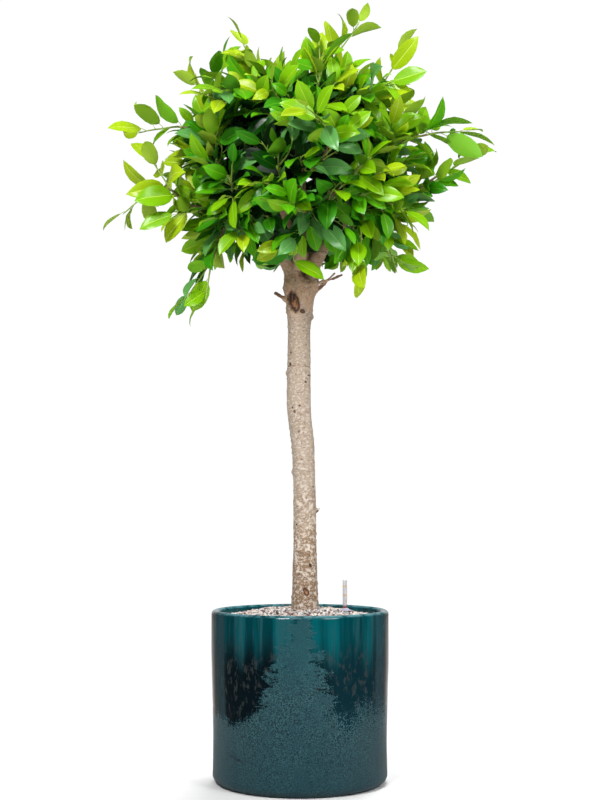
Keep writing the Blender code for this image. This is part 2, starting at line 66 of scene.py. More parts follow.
# %% Colour and plain finishes
def paint(red, green, blue):
    """Light from a screen code c: (c/255 + 0.055) / 1.055 to the power 2.4, or c/255/12.92 when dark."""
    code = np.array([red, green, blue]) / 255
    light = np.where(code > 0.04045, ((code + 0.055) / 1.055) ** 2.4, code / 12.92)
    return (*light.tolist(), 1.0)


def plain_finish(name, colour, roughness, **sockets):
    """A Principled material of one colour. Other sockets are given by name, with _ for a space."""
    material = bpy.data.materials.new(name)
    material.use_nodes = True
    shader = material.node_tree.nodes["Principled BSDF"]
    shader.inputs["Base Color"].default_value = colour
    shader.inputs["Roughness"].default_value = roughness
    for socket, value in sockets.items():
        shader.inputs[socket.replace("_", " ")].default_value = value
    return material


print("half the code is", round(paint(128, 128, 128)[0], 2), "of the light")

# %% [markdown]
# ## Making meshes from arrays
# A closed surface of two parameters is a grid whose columns meet again: one parameter runs along a path
# and the other turns round it. Its two ends are closed with a point each. The same small set of helpers
# makes the pot, the limbs, the twigs and the gauge.


# %% Mesh helpers
def mesh_piece(name, corners, faces, materials, material_index=None, smooth=True):
    """An object from an array of corners (n, 3) and a list of faces, with its finishes in order."""
    mesh = bpy.data.meshes.new(name)
    mesh.from_pydata(np.asarray(corners).tolist(), [], faces)
    for material in materials:
        mesh.materials.append(material)
    if material_index is not None:
        mesh.polygons.foreach_set("material_index", np.asarray(material_index, np.int32))
    mesh.polygons.foreach_set("use_smooth", np.full(len(mesh.polygons), smooth))
    mesh.update()
    piece = bpy.data.objects.new(name, mesh)
    bpy.context.scene.collection.objects.link(piece)
    return piece


def grid_faces(rows, columns):
    """Quads of a grid whose last column joins its first: corner (i, j) is i * columns + j."""
    i, j = np.meshgrid(np.arange(rows - 1), np.arange(columns), indexing="ij")
    low, low_next = i * columns + j, i * columns + (j + 1) % columns
    return np.stack([low, low_next, low_next + columns, low + columns], axis=-1).reshape(-1, 4).tolist()


def fan_faces(centre, ring):
    """Triangles from a centre to each side of a ring of corners."""
    ring = list(ring)
    return [(centre, a, b) for a, b in zip(ring, ring[1:] + ring[:1])]


def closed_grid_faces(rows, columns):
    """The quads of such a grid, and a fan at each end: the ends' centres are the two corners after it."""
    last = (rows - 1) * columns
    start = fan_faces(rows * columns, range(columns - 1, -1, -1))
    return grid_faces(rows, columns) + start + fan_faces(rows * columns + 1, range(last, last + columns))


def joined(parts):
    """One (corners, faces) from several, each one's faces moved on by the number of corners before it."""
    corners, faces, first = [], [], 0
    for some_corners, some_faces in parts:
        corners.append(some_corners)
        faces += [tuple(corner + first for corner in face) for face in some_faces]
        first += len(some_corners)
    return np.vstack(corners), faces


print("a closed grid of 3 rows and 6 columns:", len(closed_grid_faces(3, 6)), "faces")

# %% [markdown]
# The pot and the gauge are turned, so one profile of radius and height makes each. Rounded edges in a
# profile are arcs.


# %% Turned solids
def lathe(profile, steps):
    """A solid turned about Z. The profile (radius, height) starts and ends on the axis.

    Corner (i, j) is radius_i * (cos, sin) of the turn 2 pi j / steps, at height_i."""
    profile = np.asarray(profile, float)
    turn = np.arange(steps) * math.tau / steps
    radius, height = profile[1:-1, :1], profile[1:-1, 1:]
    ring = np.stack([radius * np.cos(turn), radius * np.sin(turn), height + 0 * turn], axis=-1)
    corners = np.vstack([ring.reshape(-1, 3), [[0, 0, profile[0, 1]], [0, 0, profile[-1, 1]]]])
    return corners, closed_grid_faces(len(profile) - 2, steps)


def arc(centre, radius, start, end, steps):
    """Points of a circle's arc in a lathe profile, from one angle to another in degrees."""
    turn = np.radians(np.linspace(start, end, steps + 1))
    return np.stack([centre[0] + radius * np.cos(turn), centre[1] + radius * np.sin(turn)], 1)


print("a turned ring of 6 steps:", len(lathe([(0, 0), (1, 0), (1, 1), (0, 1)], 6)[1]), "faces")

# %% [markdown]
# ## Noise
# Weathering, bark and glaze all vary in a way that is random up close but smooth from point to point.
# Value noise does that: every corner of a cubic lattice gets a random number, and a point takes a
# smooth mixture of the eight numbers round it. Layers of finer and fainter noise add up to a natural
# roughness.


# %% Noise on arrays
def lattice_number(cells, seed):
    """A fixed random number from 0 to 1 for each whole-number triple, by mixing its bits."""
    parts = cells.astype(np.int64).astype(np.uint32)
    bits = parts[..., 0] * np.uint32(0x9E3779B1) ^ parts[..., 1] * np.uint32(0x85EBCA77)
    bits ^= parts[..., 2] * np.uint32(0xC2B2AE3D) ^ np.uint32(seed * 7919 + 17)
    for shift, factor in ((15, 0x2C1B3C6D), (12, 0x297A2D39)):
        bits = (bits ^ (bits >> np.uint32(shift))) * np.uint32(factor)
    return (bits ^ (bits >> np.uint32(15))) / 2.0**32


def noise(points, size, seed=0, layers=1):
    """Value noise from -1 to 1 with features of the given size. Each further layer is half as coarse
    and half as strong."""
    total, weight = 0.0, 0.0
    for layer in range(layers):
        place = points / (size * 0.5**layer)
        cell = np.floor(place)
        share = place - cell
        share = share * share * (3 - 2 * share)
        value = 0.0
        for corner in np.ndindex(2, 2, 2):
            offset = np.array(corner)
            weights = np.where(offset == 1, share, 1 - share).prod(axis=-1)
            value = value + weights * lattice_number(cell + offset, seed + layer)
        total = total + 0.5**layer * (2 * value - 1)
        weight += 0.5**layer
    return total / weight


print("noise at three points:", noise(np.eye(3), 0.3).round(2))

# %% [markdown]
# ## Shader helpers
# A finish that changes over the surface is a small network of nodes. These helpers add a node and join
# it in one line, so that each network reads like a recipe.


# %% Node helpers
class Recipe:
    """Adds nodes to a node tree. An input may be a number, a colour or another node's output."""

    def __init__(self, tree):
        self.tree = tree

    def feed(self, socket, value):
        """Joins an output to a socket, or sets the socket to a plain value."""
        if isinstance(value, bpy.types.NodeSocket):
            self.tree.links.new(value, socket)
        else:
            socket.default_value = value

    def node(self, kind, inputs=None, **settings):
        node = self.tree.nodes.new(kind)
        for name, value in settings.items():
            setattr(node, name, value)
        for key, value in (inputs or {}).items():
            self.feed(node.inputs[key], value)
        return node

    def math(self, operation, a, b=0.0, c=0.0):
        return self.node("ShaderNodeMath", {0: a, 1: b, 2: c}, operation=operation).outputs[0]

    def plus(self, a, b):
        return self.math("ADD", a, b)

    def minus(self, a, b):
        return self.math("SUBTRACT", a, b)

    def times(self, a, b):
        return self.math("MULTIPLY", a, b)

    def sway(self, noise, amount):
        """Noise from 0 to 1, made to run from -amount to amount."""
        return self.math("MULTIPLY_ADD", noise, 2 * amount, -amount)

    def mix(self, share, a, b):
        """The colour a where the share is 0, and b where it is 1."""
        return self.node("ShaderNodeMix", {0: share, 6: a, 7: b}, data_type="RGBA").outputs[2]

    def step(self, value, low, high, to_low=0.0, to_high=1.0):
        """Rises smoothly from to_low to to_high as value goes from low to high."""
        inputs = {"Value": value, "From Min": low, "From Max": high, "To Min": to_low, "To Max": to_high}
        return self.node("ShaderNodeMapRange", inputs, interpolation_type="SMOOTHSTEP").outputs[0]

    def noise(self, place, scale, detail=2.0, roughness=0.5):
        inputs = {"Vector": place, "Scale": scale, "Detail": detail, "Roughness": roughness}
        return self.node("ShaderNodeTexNoise", inputs).outputs["Fac"]

    def mottle(self, place, scale, low, high, detail=3.0, amount=1.0):
        """Patches of the given scale, with soft edges between two levels of noise."""
        inputs = {"Place": place, "Scale": scale, "Detail": detail}
        inputs |= {"Low": low, "High": high, "Amount": amount}
        return self.node("ShaderNodeGroup", inputs, node_tree=MOTTLE).outputs["Share"]

    def stretch(self, place, z, x=1.0):
        """The place scaled along an axis. A pattern on it is drawn out where the factor is below 1."""
        return self.node("ShaderNodeVectorMath", {0: place, 1: (x, 1.0, z)}, operation="MULTIPLY").outputs[0]

    def curve(self, value, points):
        """Reads a smooth curve through (x, y) points, both from 0 to 1."""
        node = self.node("ShaderNodeFloatCurve", {"Value": value})
        curve = node.mapping.curves[0]
        for point, place in zip(curve.points, (points[0], points[-1])):
            point.location = place
        for place in points[1:-1]:
            curve.points.new(*place)
        node.mapping.update()
        return node.outputs[0]


print("a recipe can:", [name for name in vars(Recipe) if not name.startswith("_")])

# %% [markdown]
# An effect that more than one finish uses is a node group, built once with named inputs. Mottling is one:
# patches of noise with soft edges, for specks, drips, chalk and dust.


# %% The mottle group
def mottle_group():
    """Noise turned into patches: Share = Amount * smooth step of the noise from Low to High."""
    group = bpy.data.node_groups.new("mottle", "ShaderNodeTree")
    group.interface.new_socket("Place", in_out="INPUT", socket_type="NodeSocketVector")
    for name in ("Scale", "Detail", "Low", "High", "Amount"):
        group.interface.new_socket(name, in_out="INPUT", socket_type="NodeSocketFloat")
    group.interface.new_socket("Share", in_out="OUTPUT", socket_type="NodeSocketFloat")
    recipe = Recipe(group)
    place, scale, detail, low, high, amount = list(recipe.node("NodeGroupInput").outputs)[:6]
    share = recipe.step(recipe.noise(place, scale, detail, 0.65), low, high)
    recipe.feed(recipe.node("NodeGroupOutput").inputs[0], recipe.times(share, amount))
    return group


MOTTLE = mottle_group()
print("node group:", MOTTLE.name)

# %% [markdown]
# A finish with a pattern starts as a plain one. Its pattern is laid out in the piece's own coordinates,
# in metres, so that it has the same size on every piece, and is fed into the shader's sockets at the end.


# %% Patterned finishes
def patterned_finish(name):
    """A Principled material to be patterned: (material, recipe, shader, object coordinates)."""
    material = plain_finish(name, (0.5, 0.5, 0.5, 1), 0.5)
    recipe = Recipe(material.node_tree)
    place = recipe.node("ShaderNodeTexCoord").outputs["Object"]
    return material, recipe, material.node_tree.nodes["Principled BSDF"], place


def connect(recipe, shader, **outputs):
    """Feeds outputs into the shader's sockets. bump=(height, strength, distance) goes through a Bump node."""
    for name, value in outputs.items():
        if name == "bump":
            height, strength, distance = value
            inputs = {"Height": height, "Strength": strength, "Distance": distance}
            recipe.feed(shader.inputs["Normal"], recipe.node("ShaderNodeBump", inputs).outputs[0])
        else:
            recipe.feed(shader.inputs[name.replace("_", " ")], value)


print("finishes so far:", len(bpy.data.materials))

# %% [markdown]
# ## The pot
# The pot is a thrown stoneware cylinder: a slight waist, a rounded heel, and a lip as round as the wall
# is thick. A lathe makes it from one profile, with many more steps than the plain solid has, so that
# its outline and its highlights are smooth. Where a real wall was pulled up by hand it isn't quite
# even, so the radius also swells and shrinks by a fraction of a millimetre.

# %% Turn the pot
POT_RADIUS, POT_WAIST, POT_HEIGHT, POT_WALL = 0.150, 0.1462, 0.286, 0.013
POT_FLOOR, POT_HEEL, HEEL_SWELL, WALL_LEAN = 0.016, 0.015, 0.0006, 0.003
WAIST_HEIGHT, WAIST_TO_RIM, FLAT_BASE = 0.060, 0.175, 0.10


def pot_profile():
    """Underside, heel, waisted outside, rim, inside and floor, as points (radius, height).

    Between heel and rim the outside is the smooth curve R(z) = waist + (rim - waist) * s^2 * (3 - 2 s),
    with s rising from 0 at the waist's height to 1 near the rim."""
    lip = POT_WALL / 2
    height = np.linspace(POT_HEEL, POT_HEIGHT - lip, 40)[1:-1]
    share = np.clip((height - WAIST_HEIGHT) / WAIST_TO_RIM, 0, 1)
    outside = POT_WAIST + HEEL_SWELL * (height < WAIST_HEIGHT) * (1 - height / WAIST_HEIGHT)
    outside = outside + (POT_RADIUS - POT_WAIST) * share**2 * (3 - 2 * share)
    inner = POT_RADIUS - POT_WALL
    inside_height = np.linspace(POT_HEIGHT - lip, POT_FLOOR, 12)[1:]
    inside = inner - WALL_LEAN * (1 - (inside_height - POT_FLOOR) / (POT_HEIGHT - lip - POT_FLOOR))
    return np.vstack(
        [
            [[0, 0], [FLAT_BASE, 0]],
            arc((POT_WAIST + HEEL_SWELL - POT_HEEL, POT_HEEL), POT_HEEL, -90, 0, 10),
            np.stack([outside, height], 1),
            arc((POT_RADIUS - lip, POT_HEIGHT - lip), lip, 0, 180, 16),
            np.stack([inside, inside_height], 1),
            [[FLAT_BASE, POT_FLOOR], [0, POT_FLOOR]],
        ]
    )


corners, faces = lathe(pot_profile(), 160)
away = np.hypot(corners[:, 0], corners[:, 1])
wall = np.clip((away - 0.12) / 0.01, 0, 1) * np.clip(corners[:, 2] / 0.01, 0, 1)
swell = 0.00035 * noise(corners * (1, 1, 2.2), 0.07, seed=3, layers=2) * wall
corners[:, :2] *= (1 + swell / np.maximum(away, 0.01))[:, None]
print("pot corners:", len(corners))

# %% [markdown]
# ### The glaze
# The glaze was poured from the rim. Where it lies thick, near the top, it is glossy and deep teal and
# runs down in streaks that darken almost to black. Where it ran thin it broke into a satin skin of fine
# pale specks, which covers the lower part and climbs in ragged tongues. The boundary's height is
# read from a curve of the angle round the pot, then frayed with noise. The curve node takes and gives
# numbers from 0 to 1, so angles are given as shares of a turn and heights as shares of 0.3 m. The same
# mask switches colour, roughness and the surface's fine grain, because it is one change in the glaze.

# %% Map the glaze
TONGUES = (  # (angle from the front in degrees, height in metres) of the satin skin's upper edge
    (-180, 0.130), (-150, 0.100), (-122, 0.205), (-95, 0.140), (-75, 0.118), (-62, 0.120), (-51, 0.112),
    (-40, 0.114), (-31, 0.118), (-26, 0.134), (-23, 0.155), (-19, 0.185), (-12, 0.222), (-7, 0.248),
    (-4, 0.288), (1, 0.296), (4, 0.286), (6, 0.266), (9, 0.238), (13, 0.198), (19, 0.156), (24, 0.128),
    (30, 0.108), (38, 0.124), (47, 0.132), (55, 0.118), (70, 0.118), (90, 0.150), (115, 0.235),
    (135, 0.160), (160, 0.100), (180, 0.130),
)  # fmt: skip
CURVE_HEIGHT = 0.3

glaze, pot_mix, shader, place = patterned_finish("glaze")
shader.inputs["Specular IOR Level"].default_value = 0.26
x, y, z = pot_mix.node("ShaderNodeSeparateXYZ", {0: place}).outputs
angle = pot_mix.math("ARCTAN2", x, pot_mix.times(y, -1.0))
ragged = pot_mix.noise(pot_mix.stretch(place, 2.4), 40, detail=6, roughness=0.74)
turn = pot_mix.plus(pot_mix.math("MULTIPLY_ADD", angle, 1 / math.tau, 0.5), pot_mix.sway(ragged, 0.065))
edge = pot_mix.curve(turn, [(degrees / 360 + 0.5, height / CURVE_HEIGHT) for degrees, height in TONGUES])
edge = pot_mix.times(edge, CURVE_HEIGHT)
streaks = pot_mix.noise(pot_mix.stretch(place, 0.12), 95, detail=3, roughness=0.6)
grain = pot_mix.noise(place, 560, detail=2, roughness=0.7)
scatter = pot_mix.step(angle, -0.10, 0.50, 0.04, 0.19)
depth = pot_mix.plus(pot_mix.minus(edge, z), pot_mix.sway(streaks, 0.025))
depth = pot_mix.plus(depth, pot_mix.times(pot_mix.minus(grain, 0.5), scatter))
satin = pot_mix.step(depth, -0.005, 0.007)
print("points on the skin's upper edge:", len(TONGUES))

# %% [markdown]
# With the map made, the two glazes are mixed. The thick one is banded: it ran down in sheets of more or
# less teal, dark where it gathered, with a brownish lace where it broke over the glaze beneath, which is
# also a painted reflection broken by the glaze's ripples. Towards both sides, as the camera sees them, it
# is painted greyer and streaked brown-grey, a painted reflection of the studio, and narrow brown runs near
# the outline are partly clay that shows through and partly painted reflection. Each line lays one such
# change over what is there: a share from 0 to 1 says where, and a colour says what.

# %% Mix the thick glaze
OUTSIDE_SQUARED = 0.0196, 0.0202  # the wall's outer face lies past this, as distance from the axis squared
bands = pot_mix.noise(pot_mix.stretch(place, 0.05), 36, detail=3, roughness=0.6)
thick = pot_mix.mix(pot_mix.step(bands, 0.38, 0.60), paint(0, 48, 54), paint(2, 76, 82))
sheets = pot_mix.mottle(pot_mix.stretch(place, 0.07), 58, 0.50, 0.62, amount=0.6)
thick = pot_mix.mix(sheets, thick, paint(36, 74, 80))
waver = pot_mix.sway(bands, 0.05)
gathered = pot_mix.step(pot_mix.plus(z, waver), 0.188, 0.258)
dark = pot_mix.mix(pot_mix.step(angle, 0.15, 0.45), paint(0, 12, 18), paint(2, 34, 42))
thick = pot_mix.mix(gathered, dark, thick)
# The lace is partly broken glaze and partly a painted reflection.
lace_and_reflection = pot_mix.mottle(pot_mix.stretch(place, 0.6), 110, 0.52, 0.61, detail=8.0)
belt = pot_mix.times(pot_mix.step(z, 0.105, 0.150), pot_mix.step(z, 0.205, 0.250, 0.5, 0.0))
thick = pot_mix.mix(pot_mix.times(lace_and_reflection, belt), thick, paint(56, 60, 60))
# Brown-grey streaks towards the sides: a painted reflection.
reflection_streaks = pot_mix.mottle(pot_mix.stretch(place, 0.03), 105, 0.56, 0.66)
wide = pot_mix.plus(pot_mix.math("ABSOLUTE", angle), waver)
aside = pot_mix.step(wide, 0.75, 1.15, 0.0, 0.5)
thick = pot_mix.mix(pot_mix.times(reflection_streaks, aside), thick, paint(78, 72, 66))
away_squared = pot_mix.plus(pot_mix.times(x, x), pot_mix.times(y, y))
outside = pot_mix.step(away_squared, *OUTSIDE_SQUARED)
side = pot_mix.times(outside, pot_mix.step(wide, 1.36, 1.60, 1.0, 0.0))
# Greyer towards the sides as the camera sees them: a painted reflection.
side_reflection = pot_mix.times(side, pot_mix.step(wide, 0.93, 1.00, 0.0, 0.6))
thick = pot_mix.mix(side_reflection, thick, paint(44, 64, 70))
# Brown runs near the outline: partly clay showing through, partly a painted reflection.
runs = pot_mix.mottle(pot_mix.stretch(place, 0.04), 120, 0.40, 0.56, amount=side)
brown = pot_mix.times(runs, pot_mix.step(wide, 1.16, 1.26, 0.0, 0.8))
thick = pot_mix.mix(brown, thick, paint(84, 70, 58))
print("glaze nodes:", len(glaze.node_tree.nodes))

# %% [markdown]
# The thin glaze is a dark skin under fine pale specks, with a short wavy scratch low on its left. Where
# the glaze is thin over the lip's edge, it turns pale blue, which also paints in part of the lip's
# highlight. The thick one is nearly as smooth as glass, and the skin is satin, with a soft sheen at a
# glancing angle and a fine grain that a bump gives.

# %% Mix the skin and lay both on the pot
SCRATCH_ANGLE, SCRATCH_HEIGHT = -0.80, 0.0565
specks = pot_mix.step(grain, 0.42, 0.62)
skin = pot_mix.mix(specks, paint(4, 25, 32), paint(54, 95, 101))
skin = pot_mix.mix(pot_mix.step(z, 0.14, 0.25, 0.0, 0.7), skin, paint(20, 70, 76))
skin = pot_mix.mix(pot_mix.mottle(place, 22, 0.38, 0.75, amount=0.5), skin, paint(22, 56, 66))
skin = pot_mix.mix(pot_mix.step(z, 0.010, 0.150, 0.5, 0.0), skin, paint(20, 52, 60))
along = pot_mix.plus(angle, -SCRATCH_ANGLE)
wiggle = pot_mix.times(pot_mix.math("SINE", pot_mix.times(along, 60.0)), 0.0016)
line = pot_mix.plus(pot_mix.plus(z, pot_mix.times(along, 0.045)), wiggle)
off = pot_mix.math("ABSOLUTE", pot_mix.minus(line, SCRATCH_HEIGHT))
scratch = pot_mix.times(pot_mix.step(off, 0.0006, 0.0016, 0.9, 0.0), pot_mix.mottle(place, 260, 0.40, 0.50))
ends = pot_mix.step(pot_mix.math("ABSOLUTE", along), 0.10, 0.14, 1.0, 0.0)
skin = pot_mix.mix(pot_mix.times(scratch, ends), skin, paint(4, 14, 18))
colour = pot_mix.mix(satin, thick, skin)
# The lip's pale blue is partly thin glaze and partly a painted highlight.
lip = pot_mix.mottle(place, 60, 0.34, 0.60, amount=pot_mix.step(z, 0.2815, 0.2850, 0.0, 0.7))
colour = pot_mix.mix(lip, colour, paint(92, 138, 146))
roughness = pot_mix.step(satin, 0.0, 1.0, 0.07, 0.33)
ripple = pot_mix.noise(pot_mix.stretch(place, 0.2), 26, detail=2)
peel = pot_mix.times(pot_mix.times(grain, satin), 0.20)
connect(pot_mix, shader, Base_Color=colour, Roughness=roughness, Sheen_Weight=pot_mix.times(satin, 0.12))
connect(pot_mix, shader, bump=(pot_mix.plus(ripple, peel), 0.35, 0.0022))

pot = mesh_piece("glazed_pot", corners, faces, [glaze])
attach(pot, "root")
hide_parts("pot")
print("all the glaze's nodes:", len(glaze.node_tree.nodes))

# %% [markdown]
# ## Gravel
# A layer of mineral grit dresses the soil: angular grains of pumice, lava and zeolite, 4 to 7 mm across.
# Each grain is an icosahedron with its corners pushed in and out and its axes stretched, which looks
# broken rather than rolled, and has only 20 faces. Each one is turned at random.


# %% A grain of grit
def icosahedron():
    """The 12 corners (0, +-1, +-golden ratio), turned through the axes, and its 20 faces: every three
    corners that are each other's neighbours, in the order that faces outwards."""
    golden = (1 + math.sqrt(5)) / 2
    base = np.array([(0, a, b * golden) for a in (-1, 1) for b in (-1, 1)])
    corners = np.vstack([np.roll(base, shift, axis=1) for shift in range(3)])
    corners /= np.linalg.norm(corners[0])
    gaps = np.linalg.norm(corners[:, None] - corners[None], axis=2)
    near = (gaps > 0) & (gaps < 1.06)
    faces = []
    for a, b, c in combinations(range(12), 3):
        if near[a, b] and near[b, c] and near[a, c]:
            inwards = np.linalg.det(corners[[a, b, c]]) < 0
            faces.append((a, c, b) if inwards else (a, b, c))
    return corners, np.array(faces)


def random_turns(count, dice):
    """One rotation matrix for each grain, from a random quaternion."""
    quaternion = dice.normal(size=(4, count))
    w, x, y, z = quaternion / np.linalg.norm(quaternion, axis=0)
    rows = [
        [1 - 2 * (y * y + z * z), 2 * (x * y - z * w), 2 * (x * z + y * w)],
        [2 * (x * y + z * w), 1 - 2 * (x * x + z * z), 2 * (y * z - x * w)],
        [2 * (x * z - y * w), 2 * (y * z + x * w), 1 - 2 * (x * x + y * y)],
    ]
    return np.moveaxis(np.array(rows), 2, 0)


grain_corners, grain_faces = icosahedron()
print("a grain:", len(grain_corners), "corners", len(grain_faces), "faces")

# %% [markdown]
# The grains lie on the mound of the plain solid, spread by the golden angle so that they cover it evenly.
# Pale ones are the most common, and each mineral is a plain finish of its own.

# %% Scatter the grit
GRAVEL_TOP, GRAVEL_EDGE = POT_HEIGHT - 0.001, POT_HEIGHT - 0.013
LEVEL_PATCH, MOUND_RADIUS = 0.052, 0.1355
GOLDEN_ANGLE = math.radians(137.508)
GRAINS, GRIT_RADIUS, GRIT_LIMIT, GRIT_CEILING = 3400, 0.1335, 0.1338, POT_HEIGHT + 0.0035
MINERALS = (  # colour, its code, its share of the grains
    ("white", (207, 204, 200), 0.26),
    ("cream", (188, 178, 166), 0.22),
    ("rose", (158, 134, 126), 0.18),
    ("mauve", (114, 95, 97), 0.15),
    ("slate", (140, 148, 156), 0.11),
    ("brown", (82, 66, 60), 0.08),
)


def mound_height(away):
    """Level round the stem, then falling to the wall as (1 - s)^2 (1 + 2 s), s being the share of the way."""
    share = np.clip((away - LEVEL_PATCH) / (MOUND_RADIUS - LEVEL_PATCH), 0, 1)
    return GRAVEL_EDGE + (GRAVEL_TOP - GRAVEL_EDGE) * (1 - share) ** 2 * (1 + 2 * share)


dice = np.random.default_rng(5)
number = np.arange(GRAINS)
away = GRIT_RADIUS * np.sqrt((number + 0.5) / GRAINS) + dice.normal(0, 0.0012, GRAINS)
around = number * GOLDEN_ANGLE + dice.normal(0, 0.01, GRAINS)
away = np.clip(away, 0.0, GRIT_LIMIT)
size = dice.uniform(0.0019, 0.0034, GRAINS)
centre = np.stack([away * np.cos(around), away * np.sin(around), mound_height(away)], 1)
centre[:, 2] += dice.uniform(-0.0008, 0.0014, GRAINS)
shape = grain_corners[None] * dice.uniform(0.72, 1.18, (GRAINS, 12, 1))
shape = shape * dice.uniform((0.8, 0.75, 0.6), (1.25, 1.1, 0.95), (GRAINS, 3))[:, None]
shape = np.einsum("nij,nkj->nki", random_turns(GRAINS, dice), shape) * size[:, None, None]
corners = (shape + centre[:, None]).reshape(-1, 3)
corners[:, 2] = np.minimum(corners[:, 2], GRIT_CEILING)
faces = (grain_faces[None] + 12 * number[:, None, None]).reshape(-1, 3).tolist()
mineral = dice.choice(len(MINERALS), GRAINS, p=[share for *_, share in MINERALS])
finishes = [plain_finish("grit_" + name, paint(*code), 0.85) for name, code, _ in MINERALS]
grit = mesh_piece("grit", corners, faces, finishes, np.repeat(mineral, 20), smooth=False)
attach(grit, "root")
print("grains:", GRAINS, "faces:", len(faces))

# %% [markdown]
# Between the grains the bed below shows. It keeps its plain solid and gets a dark finish with dusty
# patches, painted shade for the gaps between the grains. The soil under it gets a dark finish as well.

# %% Finish the bed and the soil
bed, bed_mix, shader, place = patterned_finish("gravel_bed_painted_shade")
patches = bed_mix.noise(place, 180, detail=3)
dust = bed_mix.mottle(place, 140, 0.46, 0.58)
# The bed's darkness is painted shade for the gaps between the grains. The pale patches are dust.
colour = bed_mix.mix(patches, paint(70, 58, 53), paint(110, 96, 88))
connect(bed_mix, shader, Base_Color=bed_mix.mix(dust, colour, paint(120, 106, 96)))
connect(bed_mix, shader, bump=(patches, 0.6, 0.002))
soil, soil_mix, shader, place = patterned_finish("potting_soil")
crumbs = soil_mix.noise(place, 120, detail=4)
fibre = soil_mix.mottle(soil_mix.stretch(place, 1.0, x=0.4), 210, 0.56, 0.64)
colour = soil_mix.mix(crumbs, paint(30, 22, 18), paint(64, 48, 38))
connect(soil_mix, shader, Base_Color=soil_mix.mix(fibre, colour, paint(96, 76, 56)))
connect(soil_mix, shader, bump=(crumbs, 0.6, 0.003))
for node, finish in (("gravel", bed), ("soil", soil)):
    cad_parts[node].data.materials.clear()
    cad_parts[node].data.materials.append(finish)
    print(node, "wears", finish.name)

# %% [markdown]
# ## The water gauge
# A planter with a reservoir has a gauge: a clear tube that a float's rod rises in, with lines for the
# highest and lowest level. The tube is turned like the pot, and hollow. The rod is pale and nearly fills
# the bore, so that from a step away the tube looks like one pale stick. It has a red foot, and the lines
# are two yellow rings. All are small, so plain finishes serve.

# %% Turn the gauge
GAUGE_PLACE = np.array([0.076, -0.012, 0.0])
TUBE_RADIUS, BORE, ROD_RADIUS, RING_RADIUS, HALF_RING = 0.0043, 0.0034, 0.0031, 0.0033, 0.0014
COLLAR = (  # (radius, height above the collar's foot)
    (0, 0), (0.0100, 0), (0.0105, 0.0005), (0.0105, 0.0012), (0.0098, 0.0016), (0.0070, 0.0028),
    (0.0058, 0.0042), (0.0052, 0.0047), (0, 0.0047),
)  # fmt: skip
low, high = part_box("gauge_tube")
tube_foot, tube_top = low.z, high.z
collar_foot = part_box("gauge_collar")[0].z
clear = plain_finish("clear_plastic", paint(206, 203, 206), 0.2, Alpha=0.22)
pale = plain_finish("pale_plastic", paint(166, 160, 176), 0.4)
cream = plain_finish("rod_plastic", paint(204, 201, 202), 0.6)
red = plain_finish("float_plastic", paint(172, 44, 10), 0.5)
yellow = plain_finish("line_plastic", paint(212, 166, 12), 0.5)


def gauge_piece(name, profile, finish, slot, *nodes, steps=28):
    """A turned piece of the gauge in its finish, which replaces the given nodes if there are any."""
    corners, faces = lathe(profile, steps)
    piece = mesh_piece(name, corners + GAUGE_PLACE, faces, [finish])
    piece.data.set_sharp_from_angle(angle=math.radians(35))
    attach(piece, "root")
    if nodes:
        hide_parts(*nodes)


tube = [(0, tube_top - 0.0015), (BORE, tube_top - 0.0015), (BORE, tube_foot), (TUBE_RADIUS, tube_foot)]
tube += [(TUBE_RADIUS, tube_top - 0.001), (TUBE_RADIUS - 0.0003, tube_top - 0.0003)]
tube += [(BORE, tube_top), (0, tube_top)]
gauge_piece("gauge_tube_clear", tube, clear, "clear_plastic", "gauge_tube")
collar = [(radius, collar_foot + height) for radius, height in COLLAR]
gauge_piece("gauge_collar_turned", collar, pale, "pale_plastic", "gauge_collar", steps=40)
rod = [(0, collar_foot + 0.0095), (ROD_RADIUS, collar_foot + 0.0097), (ROD_RADIUS, tube_top - 0.0022)]
rod += [(ROD_RADIUS - 0.0003, tube_top - 0.0018), (0, tube_top - 0.0018)]
gauge_piece("gauge_rod", rod, cream, "float_plastic", "gauge_float")
turn = np.linspace(0, math.pi, 9)
foot = np.stack([0.0025 * np.sin(turn), collar_foot + 0.0071 - 0.0023 * np.cos(turn)], 1)
gauge_piece("gauge_rod_foot", foot, red, "float_plastic")
for name, level in (("upper", 0.0112), ("lower", 0.0263)):
    below, above = tube_top - level - HALF_RING, tube_top - level + HALF_RING
    ring = [(0, below), (RING_RADIUS, below), (RING_RADIUS, above), (0, above)]
    gauge_piece("gauge_line_" + name, ring, yellow, "float_plastic")
print("gauge:", round(tube_foot, 4), "to", round(tube_top, 4))

# %% [markdown]
# ## The plan of the plant
# The solids were grown by a rule, and the finished plant follows the same rule, so that every twig here
# leaves the limb that its solid leaves. The numbers below are that plan: where the stem's head and
# leader are, which bough carries which mass of foliage, and where the long shoots end. Azimuths turn
# from +X towards +Y, in degrees.

